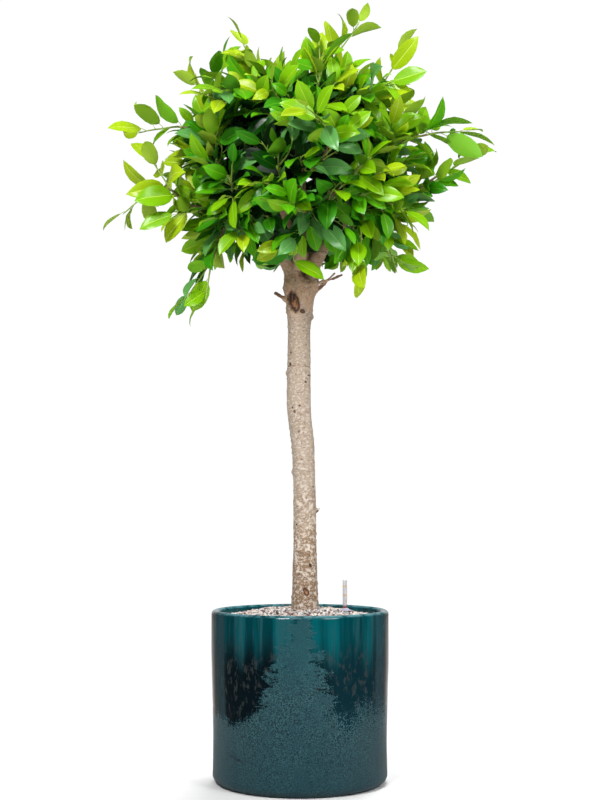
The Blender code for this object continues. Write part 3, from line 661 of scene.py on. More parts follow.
# %% The plan
UP = Vector((0, 0, 1))
CROWN_CENTRE = Vector((0.003, 0, 1.055))
CROWN_RADIUS, CROWN_RISE, CROWN_DROP = 0.190, 0.146, 0.205
MASS_DISTANCE, BOUGH_TIP_RADIUS = 0.135, 0.0052
HEAD, LEADER = Vector((0.0014, 0, 0.842)), Vector((0.004, 0.002, 0.902))
STEM_RADIUS, STEM_FOOT = 0.0205, GRAVEL_TOP + 0.0003
STEM_SWAY = ((0, 0.0085), (0.33, 0.0082), (0.47, 0.0060), (0.64, -0.0026), (0.85, -0.0017), (1, 0.0014))
STEM_GIRTH = (
    (0, 1.13), (0.10, 1.02), (0.22, 0.95), (0.45, 0.95), (0.66, 1.0), (0.85, 0.94), (0.94, 1.10), (1, 1.25),
)  # fmt: skip
BOUGHS = {  # name: (mass azimuth, mass elevation, fork, azimuth, elevation, radius, stub)
    "right": (340, -22, HEAD, 341, 57, 0.0120, 0.060),
    "back_right": (38, -22, HEAD, 38, 55, 0.0085, 0.052),
    "back": (92, -22, HEAD, 92, 56, 0.0085, 0.052),
    "back_left": (148, -22, HEAD, 146, 55, 0.0085, 0.052),
    "left": (200, -22, HEAD, 200, 57, 0.0125, 0.060),
    "front": (270, -22, HEAD, 270, 56, 0.0090, 0.052),
    "upper_right": (26, 36, LEADER, 26, 60, 0.0075, 0.034),
    "upper_left": (146, 36, LEADER, 146, 60, 0.0075, 0.034),
    "upper_front": (264, 36, LEADER, 264, 60, 0.0075, 0.034),
    "top": (90, 90, LEADER, 90, 88, 0.0090, 0.038),
}
DEAD_STUBS = (  # height, azimuth, elevation, length from the axis, radius at the root
    (0.804, 184, 27, 0.048, 0.0050),
    (0.807, -5, 41, 0.080, 0.0034),
    (0.838, -14, 12, 0.076, 0.0030),
    (0.445, 2, 20, 0.028, 0.0045),
)
KNOTS = ((0.790, 20, 0.010), (0.690, 175, 0.008), (0.520, 160, 0.008), (0.385, 250, 0.009))
LONG_SHOOTS = (  # azimuth, elevation, reach from the crown's centre, leafy length
    (-5, 2, 0.366, 0.17), (-8, 10, 0.346, 0.15), (-6, -9, 0.302, 0.13), (8, 49, 0.334, 0.10),
    (-18, 67, 0.326, 0.16), (188, 64, 0.304, 0.15), (174, 52, 0.302, 0.10), (168, 39, 0.312, 0.10),
    (183, 11, 0.352, 0.11), (193, -3, 0.326, 0.12), (184, -16, 0.384, 0.15), (200, -26, 0.318, 0.12),
    (186, -50, 0.376, 0.09), (190, -55, 0.358, 0.05), (-34, -60, 0.300, 0.12), (-12, -49, 0.318, 0.12),
    (-30, -28, 0.285, 0.12), (40, 8, 0.318, 0.15), (92, -20, 0.350, 0.16), (122, 14, 0.322, 0.14),
    (90, 48, 0.300, 0.14), (146, -34, 0.318, 0.14), (34, -38, 0.312, 0.14), (226, 22, 0.290, 0.13),
    (272, 4, 0.336, 0.16), (312, 24, 0.300, 0.14), (262, -30, 0.304, 0.15), (284, 56, 0.280, 0.12),
    (60, -12, 0.275, 0.14), (124, -8, 0.275, 0.14), (152, 8, 0.270, 0.12), (236, -10, 0.270, 0.12),
    (303, -10, 0.270, 0.12), (262, -62, 0.272, 0.03),
)  # fmt: skip
print("boughs:", len(BOUGHS), "long shoots:", len(LONG_SHOOTS))

# %% [markdown]
# Wood is never straight for long. The stem's sway and girth are read from short tables with an ease
# between their rows, and every bough and twig is a curve of three points: it sets out in one direction
# and bends to its end.


# %% Curves of the plan
def bearing(azimuth, elevation):
    """The unit vector in a direction given in degrees."""
    a, e = math.radians(azimuth), math.radians(elevation)
    return Vector((math.cos(a) * math.cos(e), math.sin(a) * math.cos(e), math.sin(e)))


def eased(table, x):
    """Reads (x, value) pairs at an array x, each step eased as t^2 (3 - 2 t)."""
    xs, values = np.array(table, float).T
    k = np.clip(np.searchsorted(xs, x, side="right") - 1, 0, len(xs) - 2)
    t = np.clip((x - xs[k]) / (xs[k + 1] - xs[k]), 0, 1)
    return values[k] + (values[k + 1] - values[k]) * t * t * (3 - 2 * t)


def bezier(start, handle, end, steps):
    """start (1 - t)^2 + handle 2 t (1 - t) + end t^2, at steps + 1 even shares t from 0 to 1."""
    t = np.linspace(0, 1, steps + 1)[:, None]
    return np.array(start) * (1 - t) ** 2 + np.array(handle) * 2 * t * (1 - t) + np.array(end) * t**2


def stem_centre(height):
    """The stem's axis at an array of heights."""
    share = (height - STEM_FOOT) / (HEAD.z - STEM_FOOT)
    return np.stack([eased(STEM_SWAY, share), 0.002 * (1 - np.cos(math.tau * share)), height], -1)


def mass_middle(name):
    """The middle of a mass of foliage."""
    return CROWN_CENTRE + bearing(*BOUGHS[name][:2]) * MASS_DISTANCE


def bough_curve(name, steps):
    """(points, radii) of a bough from the end of its stub to its tip, which ends inside its mass."""
    _, _, fork, azimuth, elevation, radius, stub = BOUGHS[name]
    away = bearing(azimuth, elevation)
    start = fork + away * (stub + 0.0003)
    end = fork.lerp(mass_middle(name), 0.66)
    points = bezier(start, start + away * (end - start).length * 0.5, end, steps)
    radii = radius + (BOUGH_TIP_RADIUS - radius) * np.linspace(0, 1, steps + 1) ** 0.8
    return points, radii


print("the clear stem is", round(HEAD.z - STEM_FOOT, 3), "m tall")

# %% [markdown]
# ## Stem and boughs
# Wood has no seams: where a bough leaves the stem, one bark runs over both. So the limbs are first made
# as separate tapering tubes that run into each other, then a voxel remesh melts them into one skin, and
# a light smoothing rounds the joins. Only then is the bark's relief laid on, by moving each corner along
# its own normal: slow swellings, fine grain, raised pores, and the wounds where shoots were cut away.
#
# A tube is a closed grid again: a ring of corners stands across the curve at each of its points.


# %% Tubes
def sideways(points):
    """Two unit vectors across a curve at each point. Each side is the last one with what points ahead
    taken away, so that the tube doesn't twist, and the other is at a right angle to it."""
    ahead = np.gradient(points, axis=0)
    ahead /= np.linalg.norm(ahead, axis=1)[:, None]
    side = np.zeros_like(ahead)
    last = np.array(Vector(ahead[0]).orthogonal().normalized())
    for k, direction in enumerate(ahead):
        last = last - direction * last.dot(direction)
        last /= np.linalg.norm(last)
        side[k] = last
    return side, np.cross(ahead, side)


def tube_grid(points, radii, around):
    """A closed tube: corner (i, j) is point_i + radius_i (side_i cos a_j + other_i sin a_j), where a_j is
    2 pi j / around."""
    points = np.asarray(points, float)
    side, other = sideways(points)
    a = np.arange(around) * math.tau / around
    ring = side[:, None] * np.cos(a)[:, None] + other[:, None] * np.sin(a)[:, None]
    ring = points[:, None] + ring * np.asarray(radii, float)[:, None, None]
    corners = np.vstack([ring.reshape(-1, 3), points[:1], points[-1:]])
    return corners, closed_grid_faces(len(points), around)


def ball(centre, radius):
    """A small sphere as a tube whose radius follows a half circle."""
    t = np.linspace(0.12, math.pi - 0.12, 9)
    points = np.array(centre) + np.stack([0 * t, 0 * t, -radius * np.cos(t)], 1)
    return tube_grid(points, radius * np.sin(t), 14)


print("a ball:", len(ball((0, 0, 0), 1)[0]), "corners")

# %% [markdown]
# Each bough starts as a stub that is thicker where it leaves the fork, as a real branch collar is. The
# dead stubs taper and are a little crooked.


# %% Lay out the limbs
def limb_tubes():
    """The stem, its leader, each stub with its bough, and the dead stubs, as (points, radii)."""
    share = np.linspace(0, 1, 60)
    tubes = [(stem_centre(STEM_FOOT + (HEAD.z - STEM_FOOT) * share), STEM_RADIUS * eased(STEM_GIRTH, share))]
    tubes.append((bezier(HEAD, (HEAD + LEADER) / 2, LEADER, 8), np.linspace(0.021, 0.0155, 9)))
    for name, (_, _, fork, azimuth, elevation, radius, stub) in BOUGHS.items():
        away = bearing(azimuth, elevation)
        ends = bezier(fork + away * 0.004, fork + away * stub * 0.5, fork + away * stub, 6)
        points, radii = bough_curve(name, 16)
        radii_there = radius * (1 + 0.4 * (1 - np.linspace(0, 1, 7)) ** 1.6)
        tubes.append((np.vstack([ends[:-1], points]), np.concatenate([radii_there[:-1], radii])))
    for height, azimuth, elevation, length, radius in DEAD_STUBS:
        root = Vector(stem_centre(np.array([height]))[0])
        away = bearing(azimuth, elevation)
        points = bezier(root, root + away * length * 0.6, root + away * length + UP * 0.004, 12)
        bend = noise(points, 0.018, seed=int(height * 1000)) * 0.0016
        points = points + bend[:, None] * np.array((0.3, 0.6, 0.8)) * np.linspace(0, 1, 13)[:, None]
        tubes.append((points, np.maximum(radius * (1 - 0.6 * np.linspace(0, 1, 13)), 0.0020)))
    return tubes


LIMB_TUBES = limb_tubes()
print("tubes:", len(LIMB_TUBES))

# %% [markdown]
# The head of the stem is a swelling, and so are the knots where old shoots have healed over. They are
# balls that run into the tubes, and the remesh takes all of it as one lump of wood.

# %% Melt the limbs into one skin
VOXEL = 0.0014
parts = [tube_grid(points, radii, 28) for points, radii in LIMB_TUBES]
parts.append(ball(HEAD, STEM_RADIUS * 1.30))
for height, azimuth, radius in KNOTS:
    centre = stem_centre(np.array([height]))[0] + np.array(bearing(azimuth, 0)) * STEM_RADIUS * 0.72
    parts.append(ball(centre, radius))
corners, faces = joined(parts)
rough_limbs = mesh_piece("rough_limbs", corners, faces, [])
remesh = rough_limbs.modifiers.new("melt", "REMESH")
remesh.mode, remesh.voxel_size = "VOXEL", VOXEL
soften = rough_limbs.modifiers.new("soften", "SMOOTH")
soften.factor, soften.iterations = 0.5, 8
skin = bpy.data.meshes.new_from_object(rough_limbs.evaluated_get(bpy.context.evaluated_depsgraph_get()))
bpy.data.objects.remove(rough_limbs)
print("limbs:", len(skin.vertices), "corners", len(skin.polygons), "faces")

# %% [markdown]
# At the fork six boughs leave one head, and there the joins need more than a light smoothing: bark grows
# over the hollows between them. The corners near the fork are moved towards their neighbours' middle
# many times, which fills a sharp hollow and leaves a smooth limb nearly as it is.


# %% Round the fork
def melt(place, edges, weight, rounds):
    """Moves each corner towards the middle of its neighbours, again and again, by its weight."""
    neighbours = np.bincount(edges.ravel(), minlength=len(place))[:, None]
    one, two = edges.T
    for _ in range(rounds):
        total = np.zeros_like(place)
        for axis in range(3):
            total[:, axis] = np.bincount(one, place[two, axis], len(place))
            total[:, axis] += np.bincount(two, place[one, axis], len(place))
        place = place + (total / neighbours - place) * weight[:, None]
    return place


count = len(skin.vertices)
skin_place, edges = np.empty(count * 3), np.empty(len(skin.edges) * 2, np.int32)
skin.vertices.foreach_get("co", skin_place)
skin.edges.foreach_get("vertices", edges)
skin_place = skin_place.reshape(-1, 3)
right, back, up = skin_place.T
at_fork = np.exp(-(((up - HEAD.z - 0.012) / 0.026) ** 2))
at_fork *= np.clip((0.042 - np.hypot(right, back)) / 0.012, 0, 1)
skin_place = melt(skin_place, edges.reshape(-1, 2), 0.9 * at_fork, 70)
skin.vertices.foreach_set("co", skin_place.ravel())
skin.update()
print("corners rounded:", int((at_fork > 0.1).sum()))

# %% [markdown]
# ### The bark's relief
# Fig bark is thin and pale. It has slow lumps, a fine dry grain, and short raised pores that lie across
# the stem. The marks are listed one by one, each a place on the stem's front with a size and a depth: a
# negative depth is a pit. A pit's rim is raised, as bark heals over a cut from its edges. A fine crack
# runs round the front. How dark each corner is to be goes into an attribute that the finish will read.

# %% Lay on the relief
MARKS = (  # x, height, half width, half height, depth, age of the wound (1 is dark and old)
    (-0.0104, 0.8105, 0.0122, 0.0240, -0.0066, 1.0),
    (0.0040, 0.794, 0.0070, 0.0056, -0.0022, 0.72),
    (0.0075, 0.866, 0.0125, 0.0240, -0.0070, 0.50),
    (0.0225, 0.786, 0.0050, 0.0060, 0.0016, 0.2),
    (-0.0155, 0.724, 0.0022, 0.0030, -0.0012, 0.6),
    (-0.0165, 0.704, 0.0026, 0.0034, -0.0014, 0.7),
    (0.0150, 0.685, 0.0026, 0.0026, -0.0010, 0.6),
    (0.0098, 0.673, 0.0030, 0.0030, -0.0012, 0.8),
    (-0.0132, 0.629, 0.0022, 0.0028, -0.0010, 0.7),
    (-0.0006, 0.632, 0.0030, 0.0024, -0.0012, 0.8),
    (-0.0094, 0.622, 0.0028, 0.0034, -0.0012, 0.9),
    (-0.0024, 0.588, 0.0034, 0.0030, -0.0010, 0.5),
    (0.0222, 0.494, 0.0026, 0.0030, 0.0010, 0.5),
    (0.0106, 0.474, 0.0030, 0.0026, -0.0010, 0.5),
    (0.0300, 0.451, 0.0040, 0.0060, 0.0020, 0.6),
    (0.0176, 0.361, 0.0044, 0.0060, -0.0012, 0.7),
    (0.0104, 0.317, 0.0070, 0.0090, -0.0018, 0.9),
    (-0.0090, 0.745, 0.0020, 0.0020, -0.0008, 0.5),
    (0.0030, 0.540, 0.0022, 0.0022, -0.0008, 0.5),
    (-0.0060, 0.430, 0.0026, 0.0030, -0.0010, 0.6),
)
CRACK_HEIGHT, STUB_START = 0.700, 0.027  # a crack round the stem, and where the dead stubs leave it

skin_normal = np.empty(count * 3, np.float32)
skin.vertices.foreach_get("normal", skin_normal)
skin_normal = skin_normal.reshape(-1, 3).astype(float)

right, back, up = skin_place.T
stem_right, stem_back, _ = stem_centre(up).T
lumps = noise(skin_place * (1, 1, 0.45), 0.016, seed=20, layers=3) * 0.00105
grain = noise(skin_place * (1, 1, 0.8), 0.0040, seed=31, layers=2) * 0.00040
pores = np.clip(noise(skin_place * (0.8, 0.8, 1.8), 0.0058, seed=44) - 0.38, 0, 1) * 0.0022
flare = np.exp(-(((up - 0.846) / 0.022) ** 2)) * np.clip((0.05 - abs(right)) / 0.01, 0, 1)
relief = lumps + grain + pores + 0.0048 * flare * abs(skin_normal[:, 0])
wound = np.zeros(count)
in_front = back < stem_back + 0.004
for x, height, half_width, half_height, depth, age in MARKS:
    across = (right - x + 0.22 * (up - height)) / half_width
    along = (up - height) / half_height
    reach = np.hypot(across, along) + 0.13 * noise(skin_place, 0.004, seed=int(height * 1000))
    pit = np.clip(1 - reach, 0, 1)
    rim = np.exp(-(((reach - 1.15) / 0.28) ** 2))
    lip = 0.35 * abs(depth) * rim if depth < 0 else 0
    relief += in_front * (depth * pit * pit * (3 - 2 * pit) + lip)
    wound = np.maximum(wound, in_front * age * np.clip(1.5 * pit, 0, 1))
crack = np.exp(-(((up - CRACK_HEIGHT + 0.05 * right) / 0.0011) ** 2))
crack *= (back < 0.006) * (0.7 + 0.3 * noise(skin_place, 0.006, seed=9))
relief -= 0.0008 * crack
stub = np.hypot(right - stem_right, back) - STUB_START
stub = np.clip(stub / 0.006, 0, 1) * (up < 0.862 - 0.5 * np.clip(0.05 - stub, 0, 0.05))
wound = np.maximum(wound, np.maximum(0.65 * crack, 0.38 * stub))
relief *= np.clip((up - STEM_FOOT) / 0.004, 0, 1)
skin_place = skin_place + skin_normal * relief[:, None]
skin.vertices.foreach_set("co", skin_place.ravel())
wound_layer = skin.attributes.new("wound", "FLOAT", "POINT")
wound_layer.data.foreach_set("value", wound.astype(np.float32))
print("relief from", round(relief.min() * 1000, 2), "to", round(relief.max() * 1000, 2), "mm")

# %% [markdown]
# ### The bark's colour
# The bark is grey-beige for most of its height. Near the soil it turns tan with chalky patches, where
# it was splashed and dried. Below the head it is painted darker, a painted shadow of the crown, and at
# the head and on the boughs it is a warmer brown, painted lighter against the leaves' shade there. Wounds
# are dark in the middle with rusty edges, read from the numbers that the relief left on the corners.

# %% Mix the bark's colour
bark, bark_mix, shader, place = patterned_finish("bark")
height = bark_mix.node("ShaderNodeSeparateXYZ", {0: place}).outputs[2]
drawn = bark_mix.stretch(place, 1.4)
broad = bark_mix.noise(place, 28, detail=4, roughness=0.6)
fine = bark_mix.noise(drawn, 260, detail=4, roughness=0.7)
ground = bark_mix.plus(height, bark_mix.sway(broad, 0.07))
upper = bark_mix.mix(broad, paint(143, 124, 105), paint(170, 154, 137))
lower = bark_mix.mix(broad, paint(112, 84, 58), paint(152, 126, 98))
# A painted shadow of the crown over the stem's upper part.
painted_crown_shadow = bark_mix.mix(broad, paint(130, 112, 94), paint(154, 138, 120))
# The head's warmer brown is also painted lighter, against the leaves' shade.
warm_head_and_light = bark_mix.mix(broad, paint(140, 108, 80), paint(186, 152, 120))
colour = bark_mix.mix(bark_mix.step(ground, 0.37, 0.50), lower, upper)
colour = bark_mix.mix(bark_mix.step(ground, 0.64, 0.80), colour, painted_crown_shadow)
colour = bark_mix.mix(bark_mix.step(ground, 0.77, 0.84), colour, warm_head_and_light)
pitted = bark_mix.step(ground, 0.36, 0.46, 0.8, 0.6)
pits = bark_mix.mottle(drawn, 200, 0.53, 0.66, detail=4.0, amount=pitted)
colour = bark_mix.mix(pits, colour, paint(88, 64, 44))
flecked = bark_mix.step(ground, 0.62, 0.80, 0.85, 0.4)
flecks = bark_mix.mottle(drawn, 230, 0.50, 0.60, detail=4.0, amount=flecked)
colour = bark_mix.mix(flecks, colour, paint(188, 178, 167))
chalky = bark_mix.step(ground, 0.40, 0.56, 0.9, 0.0)
chalk = bark_mix.mottle(place, 105, 0.53, 0.60, detail=6.0, amount=chalky)
colour = bark_mix.mix(chalk, colour, paint(202, 190, 176))
scar = bark_mix.node("ShaderNodeAttribute", attribute_name="wound").outputs["Fac"]
ragged = bark_mix.plus(scar, bark_mix.sway(fine, 0.12))
colour = bark_mix.mix(bark_mix.step(ragged, 0.16, 0.40, 0.0, 0.8), colour, paint(104, 70, 46))
colour = bark_mix.mix(bark_mix.step(ragged, 0.38, 0.56), colour, paint(56, 36, 25))
fibres = bark_mix.mottle(bark_mix.stretch(place, 0.22), 300, 0.46, 0.54)
fibres = bark_mix.times(fibres, bark_mix.step(scar, 0.66, 0.86))
colour = bark_mix.mix(fibres, colour, paint(150, 104, 68))
print("the bark's nodes:", len(bark.node_tree.nodes))

# %% [markdown]
# The same fine noise that pits the colour also roughens the bark, so that its shine breaks up where its
# colour does. The finished skin stands in for the plain stem and boughs.

# %% Put the bark on the limbs
rough = bark_mix.math("MULTIPLY_ADD", fine, 0.2, 0.68)
rise = bark_mix.plus(fine, bark_mix.times(broad, 0.3))
connect(bark_mix, shader, Base_Color=colour, Roughness=rough, bump=(rise, 0.5, 0.0012))

skin.name = "barked_limbs"
skin.materials.clear()
skin.materials.append(bark)
skin.shade_smooth()
limbs = bpy.data.objects.new("barked_limbs", skin)
bpy.context.scene.collection.objects.link(limbs)
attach(limbs, "root")
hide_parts("stem", *["bough_" + name for name in BOUGHS])
print("limbs replace", 1 + len(BOUGHS), "solids")

# %% [markdown]
# ## Growing the crown
# The rule is the one that the solids were grown by. Shoots end on a shell round the crown's centre,
# spread by the golden angle, with some long ones that stand out. Each shoot belongs to the nearest
# mass. Its twig leaves whichever wood of that mass makes the shortest way, and sets out along it before
# it bends to its tip, so the twigs of a mass form one branching system on its bough.
#
# A solid stops there. Here each twig then bears side shoots, as a real one does, and each shoot bears
# leaves a finger's width apart. Every random choice comes from a seeded dice, so it grows the same
# plant each time.


# %% Where wood and leaves may be
def limb_stretches():
    """Every straight stretch of stem, leader and boughs as arrays (start, end, radius)."""
    starts, ends, radii = [], [], []
    for points, thick in LIMB_TUBES[: 2 + len(BOUGHS)]:
        points, thick = points[::3], thick[::3]
        starts.append(points[:-1])
        ends.append(points[1:])
        radii.append(thick[:-1])
    return np.vstack(starts), np.vstack(ends), np.concatenate(radii)


STRETCHES = limb_stretches()
MIDDLES = {name: np.array(mass_middle(name)) for name in BOUGHS}
print("stretches of limb:", len(STRETCHES[2]))


def room_to_limbs(points):
    """The least distance from any of the points to the limbs' surface: to the nearest spot of each
    stretch, less its radius."""
    start, end, radius = STRETCHES
    along = end - start
    gap = points[:, None] - start
    share = np.clip((gap * along).sum(-1) / (along * along).sum(-1), 0, 1)
    return (np.linalg.norm(gap - along * share[..., None], axis=-1) - radius).min()


def room_to_walls(points, name):
    """How far inside its mass's own space the worst of the points is. The wall between two masses is the
    plane halfway between their middles."""
    own = MIDDLES[name]
    others = np.array([middle for other, middle in MIDDLES.items() if other != name])
    across = own - others
    across /= np.linalg.norm(across, axis=1)[:, None]
    return ((points[:, None] - (own + others) / 2) * across).sum(-1).min()


def shell_share(point):
    """How far out a point is, as a share of the way from the crown's centre to its shell."""
    away = np.asarray(point) - np.array(CROWN_CENTRE)
    tall = CROWN_RISE if away[2] > 0 else CROWN_DROP
    return math.hypot(away[0] / CROWN_RADIUS, away[1] / CROWN_RADIUS, away[2] / tall)


# %% [markdown]
# Turning by the golden angle from each point to the next spreads them evenly over a ball, so no side of
# the crown is bare. Each ordinary shoot then ends a little nearer or further by chance.

# %% Where the shoots end
SEED, SHOOTS = 2, 84


def shoot_tips():
    """(tip, length that bears leaves) of each shoot: ordinary ones by the golden angle, then the long."""
    rng = random.Random(SEED)
    lowest = math.sin(math.radians(-58))
    tips = []
    for i in range(SHOOTS):
        height = 1 - (1 - lowest) * (i + 0.5) / SHOOTS
        level, turn = CROWN_RADIUS * math.sqrt(1 - height * height), i * GOLDEN_ANGLE
        tall = CROWN_RISE if height > 0 else CROWN_DROP
        reach = 0.80 + 0.24 * rng.random()
        away = Vector((level * math.cos(turn), level * math.sin(turn), height * tall))
        tips.append((CROWN_CENTRE + away * reach, 0.120))
    for azimuth, elevation, reach, leafy in LONG_SHOOTS:
        tips.append((CROWN_CENTRE + bearing(azimuth, elevation) * (reach - 0.82 * 0.083), leafy))
    return tips


print("shoots:", len(shoot_tips()))

# %% [markdown]
# A twig thickens evenly from its tip back to its root, and strays a little from its curve. Everything
# that grows on it is placed by the way back from its tip, because a shoot is youngest there.

# %% A twig
TWIG_TIP_RADIUS, TWIG_THICKENING = 0.0011, 0.0100


def wandering(points, seed):
    """The same curve, straying by up to 2 mm between its two ends."""
    stray = np.stack([noise(points, 0.03, seed=seed + k) for k in range(3)], 1) * 0.002
    return points + stray * np.sin(np.linspace(0, math.pi, len(points)))[:, None]


class Twig:
    """A curve of wood with its radii. leafy is the length that bears leaves, measured back from the tip."""

    def __init__(self, start, handle, end, leafy, seed, root_radius=None):
        length = (Vector(handle) - Vector(start)).length + (Vector(end) - Vector(handle)).length
        self.points = wandering(bezier(start, handle, end, max(4, round(length / 0.010))), seed)
        steps = np.linalg.norm(np.diff(self.points, axis=0), axis=1)
        self.to_tip = np.append(np.cumsum(steps[::-1])[::-1], 0.0)
        self.length, self.leafy = self.to_tip[0], leafy
        self.radii = TWIG_TIP_RADIUS + TWIG_THICKENING * self.to_tip
        if root_radius:
            self.radii = np.minimum(self.radii, root_radius)

    def at(self, back):
        """(place, direction) at a way back from the tip."""
        k = int(np.clip(np.searchsorted(-self.to_tip, -back) - 1, 0, len(self.points) - 2))
        share = (self.to_tip[k] - back) / (self.to_tip[k] - self.to_tip[k + 1])
        ahead = Vector(self.points[k + 1] - self.points[k])
        return Vector(self.points[k]) + ahead * float(share), ahead.normalized()


print("a 100 mm twig is", round(2000 * (TWIG_TIP_RADIUS + TWIG_THICKENING * 0.1), 1), "mm thick at its root")

# %% [markdown]
# A mass grows outwards. Its stem carries on from the bough, and each shoot in turn, nearest first, tries
# the joints of the wood that is already there. It takes the shortest way that stays inside the mass and
# clear of the limbs, and the joints along its own twig are then open to the shoots that follow.


# %% Main twigs
def main_twigs(name, tips):
    """The mass's stem, which carries on from the bough, then a twig to each shoot's tip, nearest first."""
    points, _ = bough_curve(name, 5)
    ahead = Vector((points[-1] - points[-2]) * 3 - (points[-2] - points[-3])).normalized()
    foot = Vector(points[-1]) + ahead * 0.0003
    end = foot.lerp(mass_middle(name), 0.62)
    handle = foot + ahead * (end - foot).length * 0.5
    stem = Twig(foot - ahead * 0.002, handle, end, 0.0, 1)
    stem.radii = BOUGH_TIP_RADIUS * np.linspace(0.96, 0.50, len(stem.points))
    twigs = [stem]
    coarse = [Vector(p) for p in bezier(foot, handle, end, 3)]
    joints = [(b, (b - a).normalized(), (b - foot).length) for a, b in zip(coarse, coarse[1:])]
    for tip, leafy in sorted(tips, key=lambda shoot: (shoot[0] - foot).length):
        for place, direction, back in sorted(joints, key=lambda j: (tip - j[0]).length + 0.45 * j[2]):
            way = tip - place
            if way.length < 0.03 or way.normalized().dot(direction) < -0.25:
                continue
            handle = place + direction * way.length * 0.42 + UP * way.length * 0.05
            path = bezier(place, handle, tip, max(2, round(way.length / 0.080)))
            if room_to_walls(path[1:], name) > 0.004 and room_to_limbs(path[1:]) > 0.004:
                twigs.append(Twig(place, handle, tip, leafy, len(twigs) * 7, 0.0030))
                bends = [Vector(p) for p in path]
                steps = [(b - a).length for a, b in zip(bends, bends[1:])]
                for i in range(1, len(bends) - 1):
                    joints.append((bends[i], (bends[i + 1] - bends[i]).normalized(), back + sum(steps[:i])))
                break
    return twigs


by_mass = {name: [] for name in BOUGHS}
for tip, leafy in shoot_tips():
    by_mass[min(BOUGHS, key=lambda name: (tip - mass_middle(name)).length)].append((tip, leafy))
mains = {name: main_twigs(name, tips) for name, tips in by_mass.items()}
print("main twigs:", sum(len(main) for main in mains.values()))

# %% [markdown]
# Side shoots fill the crown between the main ones. One that would leave the crown's shell or its mass, or
# come close to a limb, is turned aside and shortened, and given up after four tries.


# %% Side shoots
def side_shoots(name, twig, dice):
    """Side shoots of a twig, every few centimetres, left and right in turn, shorter towards its tip."""
    shoots = []
    back, side_sign = 0.028 + 0.014 * dice.random(), dice.choice((-1, 1))
    while back < twig.length - 0.020:
        place, ahead = twig.at(back)
        if shell_share(place) > 1.12:
            back += 0.012
            continue
        outward = (place - CROWN_CENTRE).normalized()
        across = ahead.cross(UP if abs(ahead.z) < 0.9 else Vector((1, 0, 0))).normalized()
        aside = Matrix.Rotation(dice.gauss(0, 0.6), 3, ahead) @ across * side_sign
        for attempt in range(4):
            length = (0.034 + 0.30 * min(back, 0.13) + 0.014 * dice.random()) * (1 - 0.17 * attempt)
            direction = (ahead * 0.75 + aside * 0.75 + outward * 0.30 + UP * 0.10).normalized()
            end = place + direction * length
            handle = place + (ahead * 0.4 + aside * 0.9).normalized() * length * 0.45
            limit = max(1.04 + 0.18 * max(0.0, outward.z), shell_share(place) + 0.10)
            samples = np.array([handle, end])
            fits = shell_share(end) < limit and room_to_walls(samples, name) > -0.022
            if fits and room_to_limbs(samples) > 0.006:
                shoots.append(Twig(place, handle, end, length - 0.006, dice.randrange(9999), 0.0017))
                break
            aside = Matrix.Rotation(1.3, 3, ahead) @ aside
        back += 0.017 + 0.010 * dice.random()
        side_sign = -side_sign
    return shoots


dice = random.Random(SEED)
crown = {}
for name, main in mains.items():
    crown[name] = main, [shoot for twig in main[1:] for shoot in side_shoots(name, twig, dice)]
print("side shoots:", sum(len(side) for _, side in crown.values()))

# %% [markdown]
# ### Where the leaves sit
# A fig's leaves stand singly, left and right in turn, each on a thin stalk. They turn their faces to the
# light, so each leaf's upper side is turned up and out of the crown with some wandering.


# %% Pose a leaf
LEAF_SEED, LEAF_LENGTH, LEAF_WIDTH, LONGEST_LEAF = 5, 0.057, 0.0278, 0.062
LIGHT_SIDE = Vector((-0.25, -0.9, 0.35))


def leaf_pose(place, ahead, side_sign, back, attempt, dice):
    """(root, along, across, normal, length, width) of a leaf on its twig. Its blade begins at the root."""
    outward = (place - CROWN_CENTRE).normalized()
    across = ahead.cross(UP if abs(ahead.z) < 0.9 else Vector((1, 0, 0))).normalized() * side_sign
    aside = Matrix.Rotation(dice.gauss(0, 0.75 + 0.10 * attempt), 3, ahead) @ across
    young = math.exp(-back / 0.020)
    spread = math.radians((16 if back < 0.002 else 60 - 24 * young) + dice.gauss(0, 12) + 2 * attempt)
    along = ahead * math.cos(spread) + aside * math.sin(spread)
    stalk = 0.007 + 0.007 * dice.random()
    root = place + (along + UP * 0.2).normalized() * stalk
    hang = 0.18 + 0.30 * max(0.0, -outward.z)
    along += outward * 0.15 - UP * ((1 - 0.6 * young) * hang * 2 * dice.random() - 0.08)
    wander = Vector((dice.uniform(-1, 1), dice.uniform(-1, 1), dice.uniform(-1, 1)))
    face = UP * 0.34 + outward * 0.60 + LIGHT_SIDE * 0.38 + wander * (0.80 - 0.35 * max(0.0, -outward.z))
    along.normalize()
    normal = (face - along * face.dot(along)).normalized()
    length = LEAF_LENGTH * (0.70 + 0.46 * dice.random()) * (1 - 0.34 * young * dice.random())
    length *= 1.10 if shell_share(place) > 1.10 else 1.0
    width = LEAF_WIDTH * (0.86 + 0.28 * dice.random()) * length / LEAF_LENGTH
    return root, along, normal.cross(along), normal, length, width


def rough_leaf(root, along, across, normal, length, width):
    """Six corners and four triangles that stand for a leaf in the overlap test."""
    places = ((0, 0), (0.3, 0.45), (0.3, -0.45), (0.72, 0.38), (0.72, -0.38), (1, 0))
    corners = []
    for u, v in places:
        bent = normal * (0.10 * length * u * u)
        corners.append(root + along * (u * length) + across * (v * width) - bent)
    return corners, ((0, 1, 2), (1, 3, 4), (1, 4, 2), (3, 5, 4))


